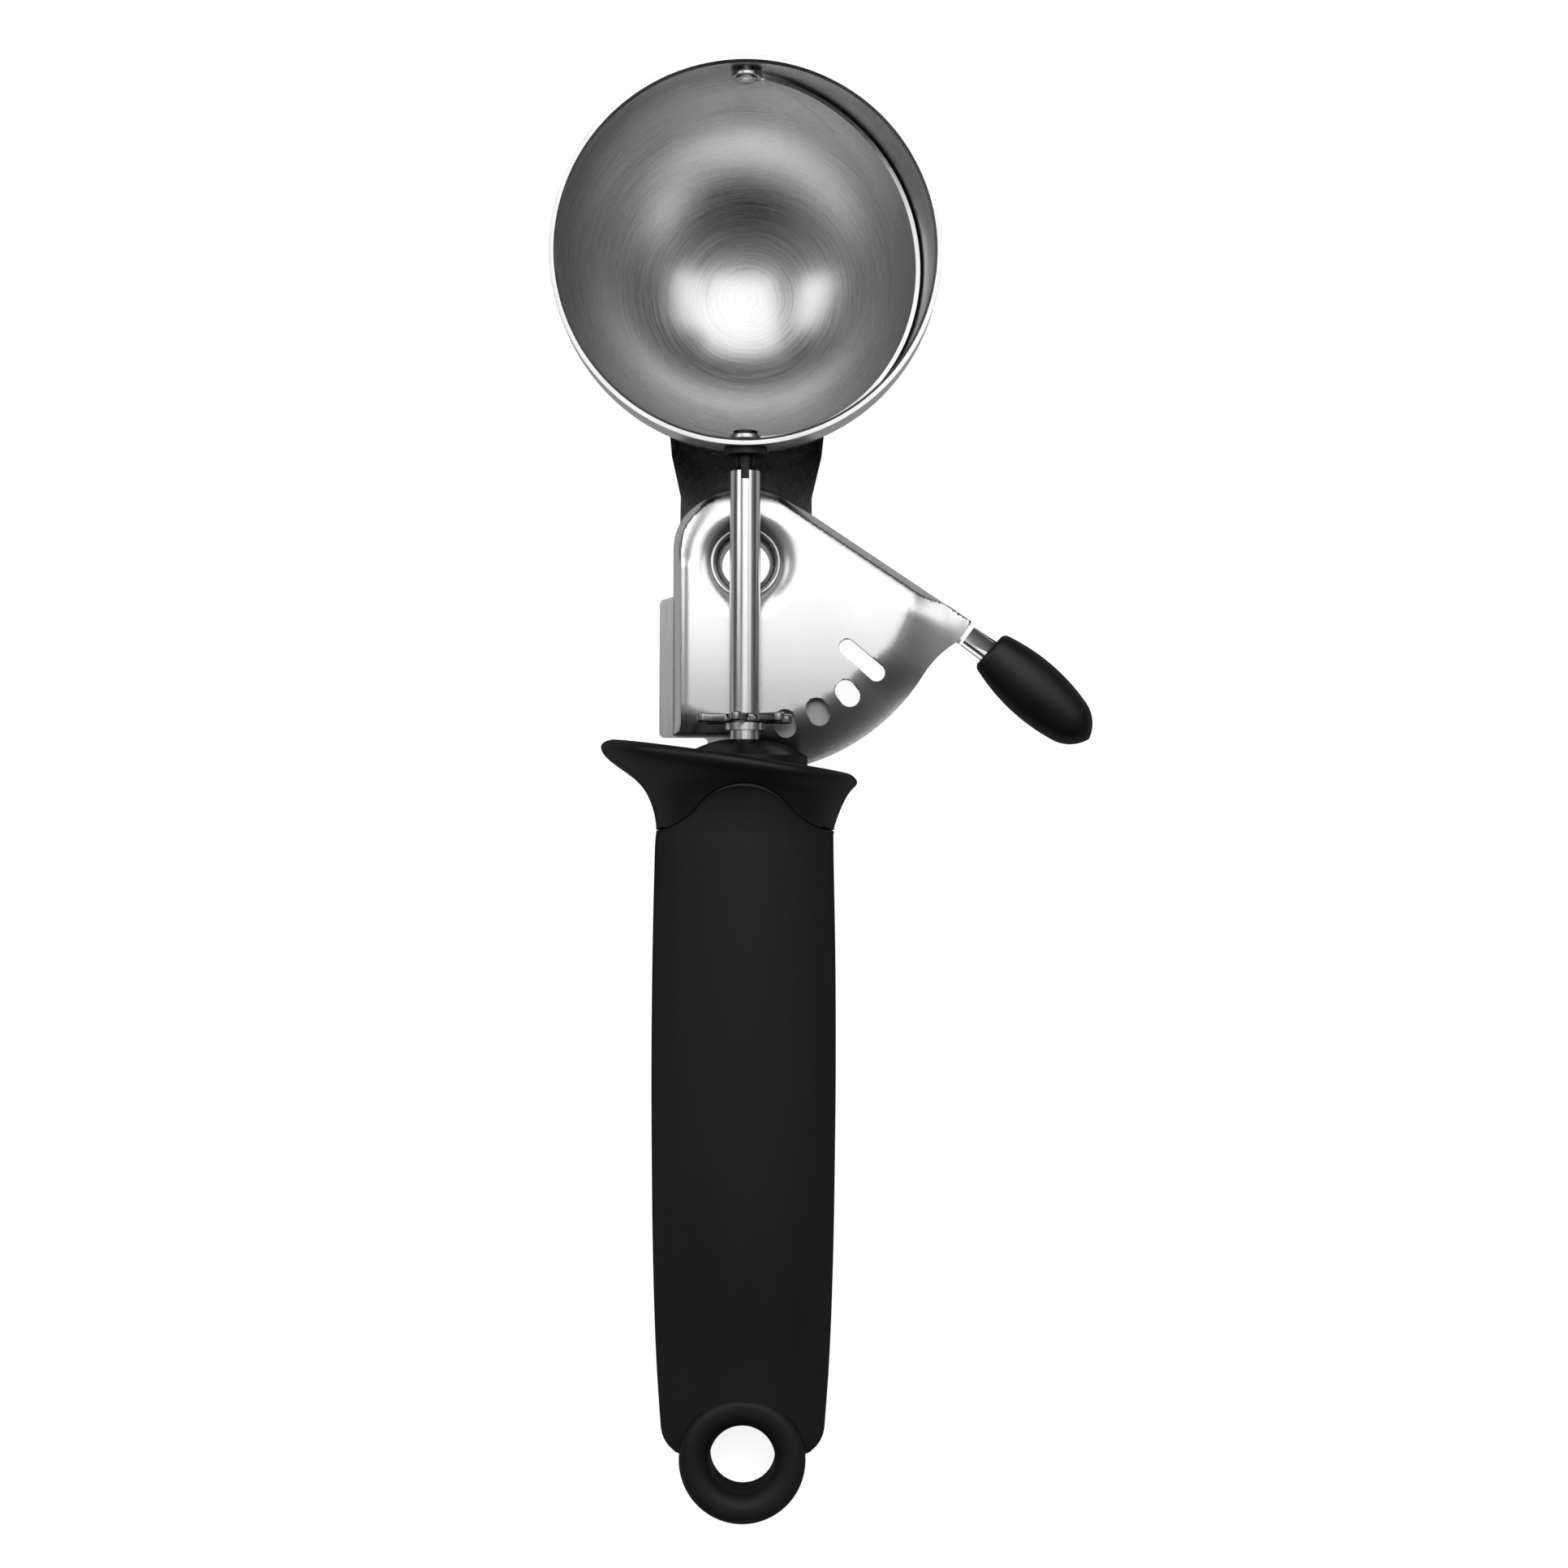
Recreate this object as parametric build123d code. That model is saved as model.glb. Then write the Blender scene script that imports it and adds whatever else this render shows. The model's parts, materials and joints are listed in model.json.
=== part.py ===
from build123d import *
from math import asin, atan2, cos, degrees, hypot, pi, radians, sin, sqrt
import os

# Ice cream scoop with a thumb lever, in millimetres. It is drawn with the shaft along +Y and the
# bowl's mouth towards +Z, the origin at the centre of the hanging hole. At the end every piece is
# tipped about X, so that the scoop lies on its bowl and on the edge of its hanging ring.

# Hanging ring at the butt of the handle
hang_hole_radius = 5.0
hang_hole_round = 2.7
ring_radius = 9.7
ring_thickness = 10.4
ring_round = 1.6

# Handle: half widths and half depths at even steps from its foot to the guard
handle_foot = -0.4
handle_top = 93.0
handle_half_widths = [12.3, 13.4, 13.95, 14.2, 14.3, 14.2, 13.9]
handle_half_depths = [4.4, 5.5, 8.2, 9.9, 10.7, 11.0, 11.0]
butt_round = 4.6
butt_spread = 0.115
grip_wall = 2.0
core_rise = 7.0

# Guard collar up to its slanted rim: left point, right point (x, height over the handle's top), half depth
guard_stations = [
    ((-13.9, 0.0), (13.9, 0.0), 11.0),
    ((-13.7, 3.3), (14.0, 3.6), 11.0),
    ((-14.2, 6.4), (14.9, 6.3), 11.3),
    ((-16.1, 10.1), (16.1, 8.7), 12.2),
    ((-19.9, 13.1), (17.2, 10.0), 13.6),
    ((-22.3, 15.7), (17.5, 10.9), 14.5),
    ((-20.8, 17.2), (16.5, 11.9), 13.9),
]
parting_rise = 3.2
parting_height = 7.0
parting_reach = 14.3

# Domed plug that carries the shaft
boss_radius = 9.8
boss_rise = 10.6
boss_dome_radius = 17.6

# Shaft and its fittings
shaft_radius = 2.38
shaft_depth = 28.0
shaft_reach = 14.1
shaft_chamfer = 0.45
shaft_slot_width = 1.26
shaft_slot_depth = 1.8
running_gap = 0.04
bush_wall = 1.25
lower_bush_length = 6.0
lower_bush_seat = 0.6
chamber_radius = 5.7
press_gap = 0.02
collar_radius = 3.15
collar_thickness = 1.1
clip_thickness = 0.8
clip_radius = 4.2
clip_groove_depth = 0.5
clip_mouth = 3.2

# Return spring round the shaft, with the collar that takes its upper end
spring_wire = 1.0
spring_mean_radius = 4.1
spring_turns = 7
spring_pitch = 2.1
spring_collar_height = 3.0
spring_collar_radius = 4.9
spring_pin_radius = 0.7
seat_gap = 0.3

# Star pinion
pinion_lift = 3.0
pinion_pitch_radius = 5.24
pinion_thickness = 1.5
pinion_arms = 6
pinion_arm_half_width = 0.84
pinion_tip_radius = 6.9
pinion_hub_radius = 3.3
pinion_phase = 10.0
pinion_edge_round = 0.35

# Lever plate, measured from its pivot
plate_sheet = 0.8
plate_front = -4.9
plate_skirt = 2.5
plate_roll = 1.9
plate_top_radius = 12.4
plate_left_inset = 0.9
plate_edge_fall = 33.7
plate_tip_overhang = 3.75
plate_tip_width = 3.8
plate_arc_radius = 33.2
plate_arc_end = 58.0
plate_step_left = 2.3
plate_heel_margin = 0.9
plate_shoulder_round = 9.0
plate_dish_width = 5.8
plate_dish_drop = 1.3
dimple_radius = 5.7
dimple_rim_radius = 7.0
dimple_depth = 0.6
tooth_hole_margin = 7.0
tooth_hole_offset = 1.3
tooth_hole_width = 3.3
tooth_hole_length = 4.4
tooth_holes = 4
window_slot_width = 2.7
window_slot_length = 8.7
window_slot_inset = 2.2

# Pivot eyelet, its spacer washer and the frame behind the lever
eyelet_bore = 3.8
eyelet_barrel = 4.3
eyelet_flange = 5.4
eyelet_flange_thickness = 0.5
eyelet_flange_round = 0.3
eyelet_gap = 0.06
spacer_radius = 6.0
frame_sheet = 1.2
frame_front = -7.9
frame_shoulder_half_width = 13.7
frame_foot_gap = 0.8
frame_shoulder_drop = 5.7
frame_neck_half_width = 10.5
frame_neck_flare = 12.1
frame_flare_drop = 2.9
frame_bend_margin = 0.1
frame_tang_half_width = 6.0
frame_tang_depth = 46.0
frame_wrap_start = 27.0
frame_wrap_end = 58.0
frame_wrap_half_width = 13.0
frame_corner_round = 2.0
frame_edge_round = 0.8
weld_gap = 0.05
frame_pin_radius = 1.6
frame_pin_inset = 4.0
frame_pin_spacing = 8.0
frame_pin_front = 2.5
slot_gap = 0.05
pocket_gap = 0.6

# Thumb lever end
tang_width = 4.2
tang_sheet = 0.8
tang_flange = 1.2
tang_fall = 36.6
tang_lap = 6.0
tang_length = 4.9
tang_inset = 9.0
paddle_fall = 41.8
paddle_length = 21.2
paddle_depth = 7.4
paddle_inner_half_width = 3.65
paddle_half_width = 4.85
paddle_outer_half_width = 4.0
paddle_widest_share = 0.4
paddle_tip_share = 0.8
paddle_inner_round = 0.8

# Bowl, blade and pivots
bowl_gap = 3.0
bowl_radius = 30.5
bowl_wall = 0.9
bowl_rim = 4.5
bowl_rim_round = 0.35
blade_gap = 0.6
blade_sheet = 0.7
blade_start = 17.0
blade_width_angle = 19.0
blade_eye_radius = 2.4
rivet_radius = 1.0
rivet_head_radius = 1.9
rivet_head = 1.0
rivet_head_round = 0.7
rivet_inner_radius = 1.71
rivet_inner_head = 0.6
rivet_inner_round = 0.42
rivet_gap = 0.05
stub_radius = 1.5
stub_tongue_width = 3.0
stub_tongue_gap = 0.05
bowl_bush_radius = 2.4
bowl_bush_flange_radius = 3.4
bowl_bush_flange = 0.9

# Places that follow from the sizes above
core_top = handle_top + core_rise
boss_top = core_top + boss_rise
parting_side = handle_top + parting_rise
parting_peak = parting_side + parting_height
shaft_bottom = core_top - shaft_depth
pinion_level = boss_top + pinion_lift
tooth_hole_pitch_radius = plate_arc_radius - tooth_hole_margin
gear_ratio = tooth_hole_pitch_radius / pinion_pitch_radius
pivot_level = pinion_level + tooth_hole_pitch_radius - tooth_hole_offset
shaft_top = pivot_level + shaft_reach
bowl_level = shaft_top + bowl_gap + bowl_radius
plate_left = plate_top_radius - plate_left_inset
plate_edge_length = sqrt((plate_arc_radius + plate_tip_overhang)**2 - plate_top_radius**2)
plate_heel = tooth_hole_pitch_radius + plate_heel_margin
plate_dish_start = plate_arc_radius - plate_dish_width
window_slot_radius = tooth_hole_pitch_radius - window_slot_inset
frame_shoulder_foot = handle_top + guard_stations[-1][0][1] + frame_foot_gap
frame_shoulder_top = pivot_level - frame_shoulder_drop
frame_neck_bend = pivot_level + spacer_radius + frame_bend_margin
frame_tang_end = core_top - frame_tang_depth
frame_pin_levels = [frame_tang_end + frame_pin_inset + index * frame_pin_spacing for index in range(2)]
plate_back = plate_front - plate_skirt
frame_back = frame_front - frame_sheet
bowl_inner = bowl_radius - bowl_wall
blade_outer = bowl_inner - blade_gap
blade_inner = blade_outer - blade_sheet
bush_radius = shaft_radius + bush_wall
chamber_foot = shaft_bottom - lower_bush_seat + lower_bush_length
spring_foot = chamber_foot + seat_gap + spring_wire / 2
spring_head = spring_foot + spring_turns * spring_pitch
spring_collar_foot = spring_head + spring_wire / 2 + seat_gap
clip_level = core_top - seat_gap - clip_thickness
pivot_place = Pos(0, pivot_level, 0)

# Tip of the whole scoop: the floor touches the bowl and the rounded lower edge of the ring
rest_reach = bowl_level + ring_radius - ring_round
rest_height = ring_thickness / 2 - ring_round
rest_slope = atan2(rest_height, rest_reach)
rest_pitch = degrees(asin((bowl_radius - ring_round) / hypot(rest_reach, rest_height)) - rest_slope)


def cylinder_y(radius, low, high):
    # Round bar about the shaft's line, from one distance to another
    plane = Plane(origin=(0, low, 0), x_dir=(1, 0, 0), z_dir=(0, 1, 0))
    return extrude(plane * Circle(radius), amount=high - low)


def cylinder_z(radius, low, high, level=0.0):
    return Pos(0, level, low) * extrude(Circle(radius), amount=high - low)


def block(x_low, x_high, y_low, y_high, z_low, z_high):
    size = (x_high - x_low, y_high - y_low, z_high - z_low)
    middle = ((x_low + x_high) / 2, (y_low + y_high) / 2, (z_low + z_high) / 2)
    return Pos(*middle) * Box(*size)


def oval(left, right, half_depth):
    # Ellipse across the handle between its left and right points
    across = Vector(right[0] - left[0], right[1] - left[1], 0)
    middle = ((left[0] + right[0]) / 2, (left[1] + right[1]) / 2, 0)
    plane = Plane(origin=middle, x_dir=across, z_dir=(-across.Y, across.X, 0))
    return plane * Ellipse(across.length / 2, half_depth)


def handle_body(inset):
    # Handle form with rounded corners at the butt, or its inside when inset by the grip's wall
    step = (handle_top - handle_foot) / (len(handle_half_widths) - 1)
    sections = []
    for index, (half_width, half_depth) in enumerate(zip(handle_half_widths, handle_half_depths)):
        level = handle_foot + index * step
        width = half_width - inset
        sections.append(oval((-width, level), (width, level), half_depth - inset))
    foot = handle_foot + inset
    half = handle_half_widths[0] + butt_spread - inset
    flat = half - butt_round + inset
    rise = foot + butt_round - inset
    far = 2 * half
    top = 2 * handle_top
    outline = make_face([
        Line((-flat, foot), (flat, foot)),
        TangentArc((flat, foot), (half, rise), tangent=(1, 0)),
        Line((half, rise), (far, top)),
        Line((far, top), (-far, top)),
        Line((-far, top), (-half, rise)),
        TangentArc((-flat, foot), (-half, rise), tangent=(-1, 0)),
    ])
    return loft(sections) & extrude(outline, amount=far, both=True)


def handle_inside():
    # Room inside the grip, carried up to the seat of the domed plug
    width = handle_half_widths[-1] - grip_wall
    depth = handle_half_depths[-1] - grip_wall
    plane = Plane(origin=(0, handle_top, 0), x_dir=(1, 0, 0), z_dir=(0, 1, 0))
    return handle_body(grip_wall) + extrude(plane * Ellipse(width, depth), amount=core_top - handle_top)


def guard_body():
    sections = []
    for (left, left_rise), (right, right_rise), depth in guard_stations:
        sections.append(oval((left, handle_top + left_rise), (right, handle_top + right_rise), depth))
    return loft(sections)


def below_parting():
    # Everything on the grip's side of the curved line between the grip and the guard
    middle = (parting_side + parting_peak) / 2
    far = 3 * parting_reach
    foot = -4 * ring_radius
    low_left = (-parting_reach, parting_side)
    low_right = (parting_reach, parting_side)
    mid_left = (-parting_reach / 2, middle)
    mid_right = (parting_reach / 2, middle)
    outline = make_face([
        Line((-far, foot), (-far, parting_side)),
        Line((-far, parting_side), low_left),
        TangentArc(low_left, mid_left, tangent=(1, 0)),
        ThreePointArc(mid_left, (0, parting_peak), mid_right),
        TangentArc(low_right, mid_right, tangent=(-1, 0)),
        Line(low_right, (far, parting_side)),
        Line((far, parting_side), (far, foot)),
        Line((far, foot), (-far, foot)),
    ])
    return extrude(outline, amount=far, both=True)


def plate_outline(inset, overhang):
    # Lever plate seen from the front: the inset moves its skirted edges in, the overhang its open ones out
    top_radius = plate_top_radius - inset
    left = plate_left - inset
    fall = radians(plate_edge_fall)
    arc = plate_arc_radius + overhang
    along = Vector(cos(fall), -sin(fall))
    across = Vector(-sin(fall), -cos(fall))
    shoulder = Vector(-left, sqrt(top_radius**2 - left**2))
    crown = Vector(0, top_radius)
    edge_start = across * -top_radius
    tip_high = edge_start + along * (plate_edge_length + overhang)
    tip_low = tip_high + across * (plate_tip_width + inset + overhang)
    end = radians(plate_arc_end)
    arc_end = Vector(arc * sin(end), -arc * cos(end))
    step = plate_step_left + overhang
    arc_start = Vector(-step, -sqrt(arc**2 - step**2))
    arc_middle = Vector(arc * sin(end / 2), -arc * cos(end / 2))
    heel = plate_heel + overhang
    edges = [
        ThreePointArc(shoulder, crown, edge_start),
        Line(edge_start, tip_high),
        Line(tip_high, tip_low),
        TangentArc(arc_end, tip_low, tangent=(cos(end), sin(end))),
        ThreePointArc(arc_end, arc_middle, arc_start),
        Line(arc_start, (-step, -heel)),
        Line((-step, -heel), (-left, -heel)),
        Line((-left, -heel), shoulder),
    ]
    outline = make_face(edges)
    bend = outline.vertices().sort_by_distance((shoulder.X, shoulder.Y, 0))[0]
    return fillet(bend, plate_shoulder_round - inset), (tip_high + tip_low) * 0.5


def plate_block(inset, overhang, front, back):
    # Outline filled from the rolled and dished front down to a flat back
    outline, _ = plate_outline(inset, overhang)
    form = extrude(Pos(0, 0, back) * outline, amount=front - back)
    fall = radians(plate_edge_fall)
    rolled = []
    for edge in form.edges().filter_by_position(Axis.Z, front, front):
        middle = edge @ 0.5
        off_slope = middle.X * sin(fall) + middle.Y * cos(fall) - plate_top_radius + inset
        on_slope = middle.X > 0 and abs(off_slope) < plate_sheet / 10
        on_left = abs(middle.X + plate_left - inset) < plate_sheet / 10
        beyond_pivot = hypot(middle.X, middle.Y) > plate_top_radius / 2
        on_top = middle.Y > 0 and middle.X < plate_top_radius and beyond_pivot
        if on_slope or on_left or on_top:
            rolled.append(edge)
    form = fillet(rolled, plate_roll - inset)
    reach = plate_edge_length + plate_top_radius
    dimple_middle = ((dimple_radius + dimple_rim_radius) / 2, front - dimple_depth / 2)
    dish_end = (plate_arc_radius, front - plate_dish_drop)
    profile = make_face([
        Line((0, back), (0, front - dimple_depth)),
        Line((0, front - dimple_depth), (dimple_radius, front - dimple_depth)),
        TangentArc((dimple_radius, front - dimple_depth), dimple_middle, tangent=(1, 0)),
        TangentArc((dimple_rim_radius, front), dimple_middle, tangent=(-1, 0)),
        Line((dimple_rim_radius, front), (plate_dish_start, front)),
        TangentArc((plate_dish_start, front), dish_end, tangent=(1, 0)),
        Line(dish_end, (reach, front - plate_dish_drop)),
        Line((reach, front - plate_dish_drop), (reach, back)),
        Line((reach, back), (0, back)),
    ])
    return form & revolve(Plane.XZ * profile, Axis.Z, 360)


def make_lever_plate():
    shell = plate_block(0, 0, plate_front, plate_back)
    hollow = plate_block(plate_sheet, 2 * plate_sheet, plate_front - plate_sheet, plate_back - plate_sheet)
    plate = shell - hollow - cylinder_z(eyelet_barrel + eyelet_gap, 2 * plate_back, 0)
    hole_depth = -2 * plate_back
    pitch_angle = 360 / pinion_arms / gear_ratio
    first_angle = pinion_phase / gear_ratio
    for index in range(tooth_holes):
        turn = Rot(0, 0, first_angle + index * pitch_angle)
        hole = SlotOverall(tooth_hole_length, tooth_hole_width, rotation=90)
        plate -= turn * Pos(0, -tooth_hole_pitch_radius, -hole_depth) * extrude(hole, amount=hole_depth)
    turn = Rot(0, 0, first_angle + tooth_holes * pitch_angle)
    window = SlotOverall(window_slot_length, window_slot_width, rotation=90)
    plate -= turn * Pos(0, -window_slot_radius, -hole_depth) * extrude(window, amount=hole_depth)
    lap, _ = tang_place()
    return pivot_place * plate - lap * tang_strip(tang_lap, weld_gap)


def tang_place():
    _, root = plate_outline(0, 0)
    return pivot_place * Pos(root.X, root.Y, 0) * Rot(0, 0, -tang_fall), root


def tang_strip(length, gap):
    # Flat of the tang, starting under the plate's tip
    top = plate_front - plate_dish_drop - plate_sheet - weld_gap + gap
    half = tang_width / 2 + gap
    return block(-tang_lap - gap, length, -half, half, top - tang_sheet - 2 * gap, top)


def make_lever_tang():
    # Formed channel welded behind the plate's tip and carried on into the paddle
    place, _ = tang_place()
    length = tang_length + tang_inset
    strip = tang_strip(length, 0)
    low = strip.bounding_box().min.Z
    half = tang_width / 2
    for side in (-half, half - tang_sheet):
        strip += block(tang_sheet, length, side, side + tang_sheet, low, low + tang_sheet + tang_flange)
    return place * strip


def make_thumb_paddle(tang):
    # Flattened round form along the paddle's line, moulded over the end of the tang
    inner = (paddle_inner_round, paddle_inner_half_width)
    widest = (paddle_widest_share * paddle_length, paddle_half_width)
    outer = (paddle_tip_share * paddle_length, paddle_outer_half_width)
    foot = (0, paddle_inner_half_width - paddle_inner_round)
    flank = ThreePointArc(inner, widest, outer)
    side = make_face([
        Line((0, 0), foot),
        TangentArc(inner, foot, tangent=flank % 0 * -1),
        flank,
        TangentArc(outer, (paddle_length, 0), tangent=flank % 1),
        Line((paddle_length, 0), (0, 0)),
    ])
    body = revolve(side, Axis.X, 360)
    body = scale(body, by=(1, 1, paddle_depth / 2 / paddle_half_width))
    middle = plate_front - plate_dish_drop - plate_sheet - weld_gap
    tang_end, _ = tang_place()
    place = tang_end * Pos(tang_length, 0, middle) * Rot(0, 0, tang_fall - paddle_fall)
    return place * body - tang


def make_neck_frame():
    # Flat plate behind the lever, a tang down into the handle and a wrap under the bowl
    wrap_outer = bowl_radius + weld_gap + frame_sheet
    wrap_inner = bowl_radius + weld_gap
    start = radians(frame_wrap_start)
    meet = (bowl_level - wrap_inner * cos(start), -wrap_inner * sin(start))
    run = Vector(meet[0] - frame_neck_bend, meet[1] - frame_front)
    normal = Vector(run.Y, -run.X) * (frame_sheet / run.length)
    deep = (meet[0] + run.X, meet[1] + run.Y)
    profile = make_face(Polyline(
        (frame_tang_end, frame_front),
        (frame_neck_bend, frame_front),
        deep,
        (deep[0] + normal.X, deep[1] + normal.Y),
        (frame_neck_bend + normal.X, frame_back),
        (frame_tang_end, frame_back),
        (frame_tang_end, frame_front),
    ))
    strip = extrude(Plane.YZ * profile, amount=frame_shoulder_half_width, both=True)
    ball = Pos(0, bowl_level, 0) * Sphere(wrap_outer)
    strip -= Pos(0, bowl_level, 0) * Sphere((wrap_inner + wrap_outer) / 2)
    side = 2 * frame_wrap_half_width
    strip -= block(-side, side, meet[0] + 2 * frame_sheet, bowl_level, -bowl_radius, 0)
    end = radians(frame_wrap_end)
    wrap_high = meet[0] - frame_sheet
    wrap_far = bowl_level - wrap_outer * cos(end)
    shell = ball - Pos(0, bowl_level, 0) * Sphere(wrap_inner)
    half_width = frame_wrap_half_width
    shell &= block(-half_width, half_width, wrap_high, wrap_far, -wrap_outer, meet[1] + frame_sheet)
    flare_level = bowl_level - bowl_radius + frame_sheet
    half = [
        (frame_tang_half_width, frame_tang_end),
        (frame_tang_half_width, frame_shoulder_foot),
        (frame_shoulder_half_width, frame_shoulder_foot),
        (frame_shoulder_half_width, frame_shoulder_top),
        (frame_neck_half_width, frame_shoulder_top + frame_corner_round / 2),
        (frame_neck_half_width, shaft_top - frame_flare_drop),
        (frame_neck_flare, flare_level),
        (frame_wrap_half_width, wrap_far - 2 * frame_corner_round),
        (frame_wrap_half_width - 2 * frame_corner_round, wrap_far),
    ]
    outline = make_face(Polyline(*half, *[(-x, y) for x, y in reversed(half)], half[0]))
    outline = fillet(outline.vertices(), frame_edge_round)
    prism = extrude(Pos(0, 0, -2 * bowl_radius) * outline, amount=2 * bowl_radius)
    frame = (strip + shell) & prism
    frame -= cylinder_z(eyelet_barrel + press_gap, 2 * frame_back, 0, pivot_level)
    for level in frame_pin_levels:
        frame -= cylinder_z(frame_pin_radius + press_gap, 2 * frame_back, 0, level)
    return frame


def make_bowl():
    profile = make_face([
        Line((bowl_inner, bowl_rim), (bowl_radius, bowl_rim)),
        Line((bowl_radius, bowl_rim), (bowl_radius, 0)),
        RadiusArc((bowl_radius, 0), (0, -bowl_radius), bowl_radius),
        Line((0, -bowl_radius), (0, -bowl_inner)),
        RadiusArc((0, -bowl_inner), (bowl_inner, 0), -bowl_inner),
        Line((bowl_inner, 0), (bowl_inner, bowl_rim)),
    ])
    bowl = revolve(Plane.XZ * profile, Axis.Z, 360)
    rim = []
    for edge in bowl.edges().filter_by(GeomType.CIRCLE):
        if abs((edge @ 0.5).Z - bowl_rim) < bowl_rim_round / 10:
            rim.append(edge)
    bowl = Pos(0, bowl_level, 0) * fillet(rim, bowl_rim_round)
    bowl -= cylinder_y(rivet_radius + press_gap, bowl_level, bowl_level + 2 * bowl_radius)
    bowl -= cylinder_y(bowl_bush_radius + press_gap, bowl_level - 2 * bowl_radius, bowl_level)
    return bowl


def make_sweep_blade():
    # Strip of a ball's shell between two planes through the shaft's line, with a round eye at each end
    far = 2 * bowl_radius
    angles = (radians(blade_start), radians(blade_start + blade_width_angle))
    corners = [(far * cos(angle), -far * sin(angle)) for angle in angles]
    wedge_plane = Plane(origin=(0, bowl_level + bowl_radius, 0), x_dir=(1, 0, 0), z_dir=(0, -1, 0))
    wedge = extrude(wedge_plane * make_face(Polyline((0, 0), *corners, (0, 0))), amount=far)
    keep = wedge + cylinder_y(blade_eye_radius, bowl_level - bowl_radius, bowl_level + bowl_radius)
    blade = Sphere(blade_outer) - Sphere(blade_inner)
    blade = Pos(0, bowl_level, 0) * blade & keep
    blade -= cylinder_y(rivet_radius + rivet_gap, bowl_level, bowl_level + bowl_radius)
    return blade - cylinder_y(stub_radius + press_gap, bowl_level - bowl_radius, bowl_level)


def make_blade_rivet():
    pole = bowl_level + bowl_radius
    inside = bowl_level + blade_inner * cos(asin(blade_eye_radius / blade_inner)) - 2 * rivet_gap
    rivet = cylinder_y(rivet_radius, inside, pole + rivet_head / 2)
    head = cylinder_y(rivet_head_radius, pole, pole + rivet_head)
    head = fillet(head.faces().sort_by(Axis.Y)[-1].edges(), rivet_head_round)
    inner_head = cylinder_y(rivet_inner_radius, inside - rivet_inner_head, inside)
    inner_head = fillet(inner_head.faces().sort_by(Axis.Y)[0].edges(), rivet_inner_round)
    return rivet + head + inner_head


def make_blade_stub():
    # Round pivot riveted in the blade's rear eye, ending in a flat tongue for the shaft's slot
    inside = bowl_level - blade_inner * cos(asin(blade_eye_radius / blade_inner)) + press_gap
    tongue_half = shaft_slot_width / 2 - stub_tongue_gap
    foot = shaft_top - shaft_slot_depth + stub_tongue_gap
    stub = cylinder_y(stub_radius, shaft_top + seat_gap, inside + rivet_inner_head / 2)
    head = cylinder_y(rivet_head_radius, inside, inside + rivet_inner_head)
    half_width = stub_tongue_width / 2
    overlap = shaft_top + 2 * seat_gap
    return stub + head + block(-tongue_half, tongue_half, foot, overlap, -half_width, half_width)


def make_bowl_bush():
    pole = bowl_level - bowl_radius
    flange = cylinder_y(bowl_bush_flange_radius, pole - bowl_bush_flange, pole)
    barrel = cylinder_y(bowl_bush_radius, pole - bowl_bush_flange, pole + bowl_wall)
    return flange + barrel - cylinder_y(stub_radius + rivet_gap, pole - bowl_radius, pole + bowl_radius)


def make_drive_shaft():
    shaft = cylinder_y(shaft_radius, shaft_bottom, shaft_top)
    shaft = chamfer(shaft.faces().sort_by(Axis.Y)[-1].edges(), shaft_chamfer)
    half = shaft_slot_width / 2
    slot_foot = shaft_top - shaft_slot_depth
    shaft -= block(-half, half, slot_foot, 2 * shaft_top, -2 * shaft_radius, 2 * shaft_radius)
    groove = cylinder_y(2 * shaft_radius, clip_level - press_gap, clip_level + clip_thickness + press_gap)
    shaft -= groove - cylinder_y(shaft_radius - clip_groove_depth, shaft_bottom, shaft_top)
    pin_level = spring_collar_foot + spring_collar_height / 2
    shaft -= cylinder_z(spring_pin_radius + press_gap, -2 * shaft_radius, 2 * shaft_radius, pin_level)
    return shaft


def make_star_pinion():
    top = pinion_level + pinion_thickness / 2
    plane = Plane(origin=(0, top, 0), x_dir=(1, 0, 0), z_dir=(0, -1, 0))
    reach = pinion_tip_radius - pinion_arm_half_width
    star = Circle(pinion_hub_radius)
    for index in range(pinion_arms):
        turn = pinion_phase - 90 + index * 360 / pinion_arms
        arm = Pos(reach / 2, 0) * Rectangle(reach, 2 * pinion_arm_half_width)
        arm += Pos(reach, 0) * Circle(pinion_arm_half_width)
        star += Rot(0, 0, turn) * arm
    pinion = extrude(plane * star, amount=pinion_thickness)
    rims = pinion.faces().filter_by(Axis.Y).edges()
    pinion = fillet(rims, pinion_edge_round)
    return pinion - cylinder_y(shaft_radius + press_gap, shaft_bottom, shaft_top)


def make_pinion_collar():
    top = pinion_level - pinion_thickness / 2
    collar = cylinder_y(collar_radius, top - collar_thickness, top)
    return collar - cylinder_y(shaft_radius + press_gap, shaft_bottom, shaft_top)


def make_pivot_eyelet():
    front = plate_front - dimple_depth + eyelet_gap
    barrel = cylinder_z(eyelet_barrel, frame_back, front, pivot_level)
    for low in (front, frame_back - eyelet_flange_thickness):
        flange = cylinder_z(eyelet_flange, low, low + eyelet_flange_thickness, pivot_level)
        outer = flange.faces().sort_by(Axis.Z)[-1 if low == front else 0].edges()
        barrel += fillet(outer, eyelet_flange_round)
    return barrel - cylinder_z(eyelet_bore, 2 * frame_back, 0, pivot_level)


def make_pivot_spacer():
    top = plate_front - dimple_depth - plate_sheet - eyelet_gap
    spacer = cylinder_z(spacer_radius, frame_front, top, pivot_level)
    return spacer - cylinder_z(eyelet_barrel + press_gap, frame_front, top, pivot_level)


def frame_slot():
    half = frame_tang_half_width + slot_gap
    high = frame_shoulder_foot + slot_gap
    return block(-half, half, frame_tang_end - slot_gap, high, frame_back - slot_gap, frame_front + slot_gap)


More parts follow.
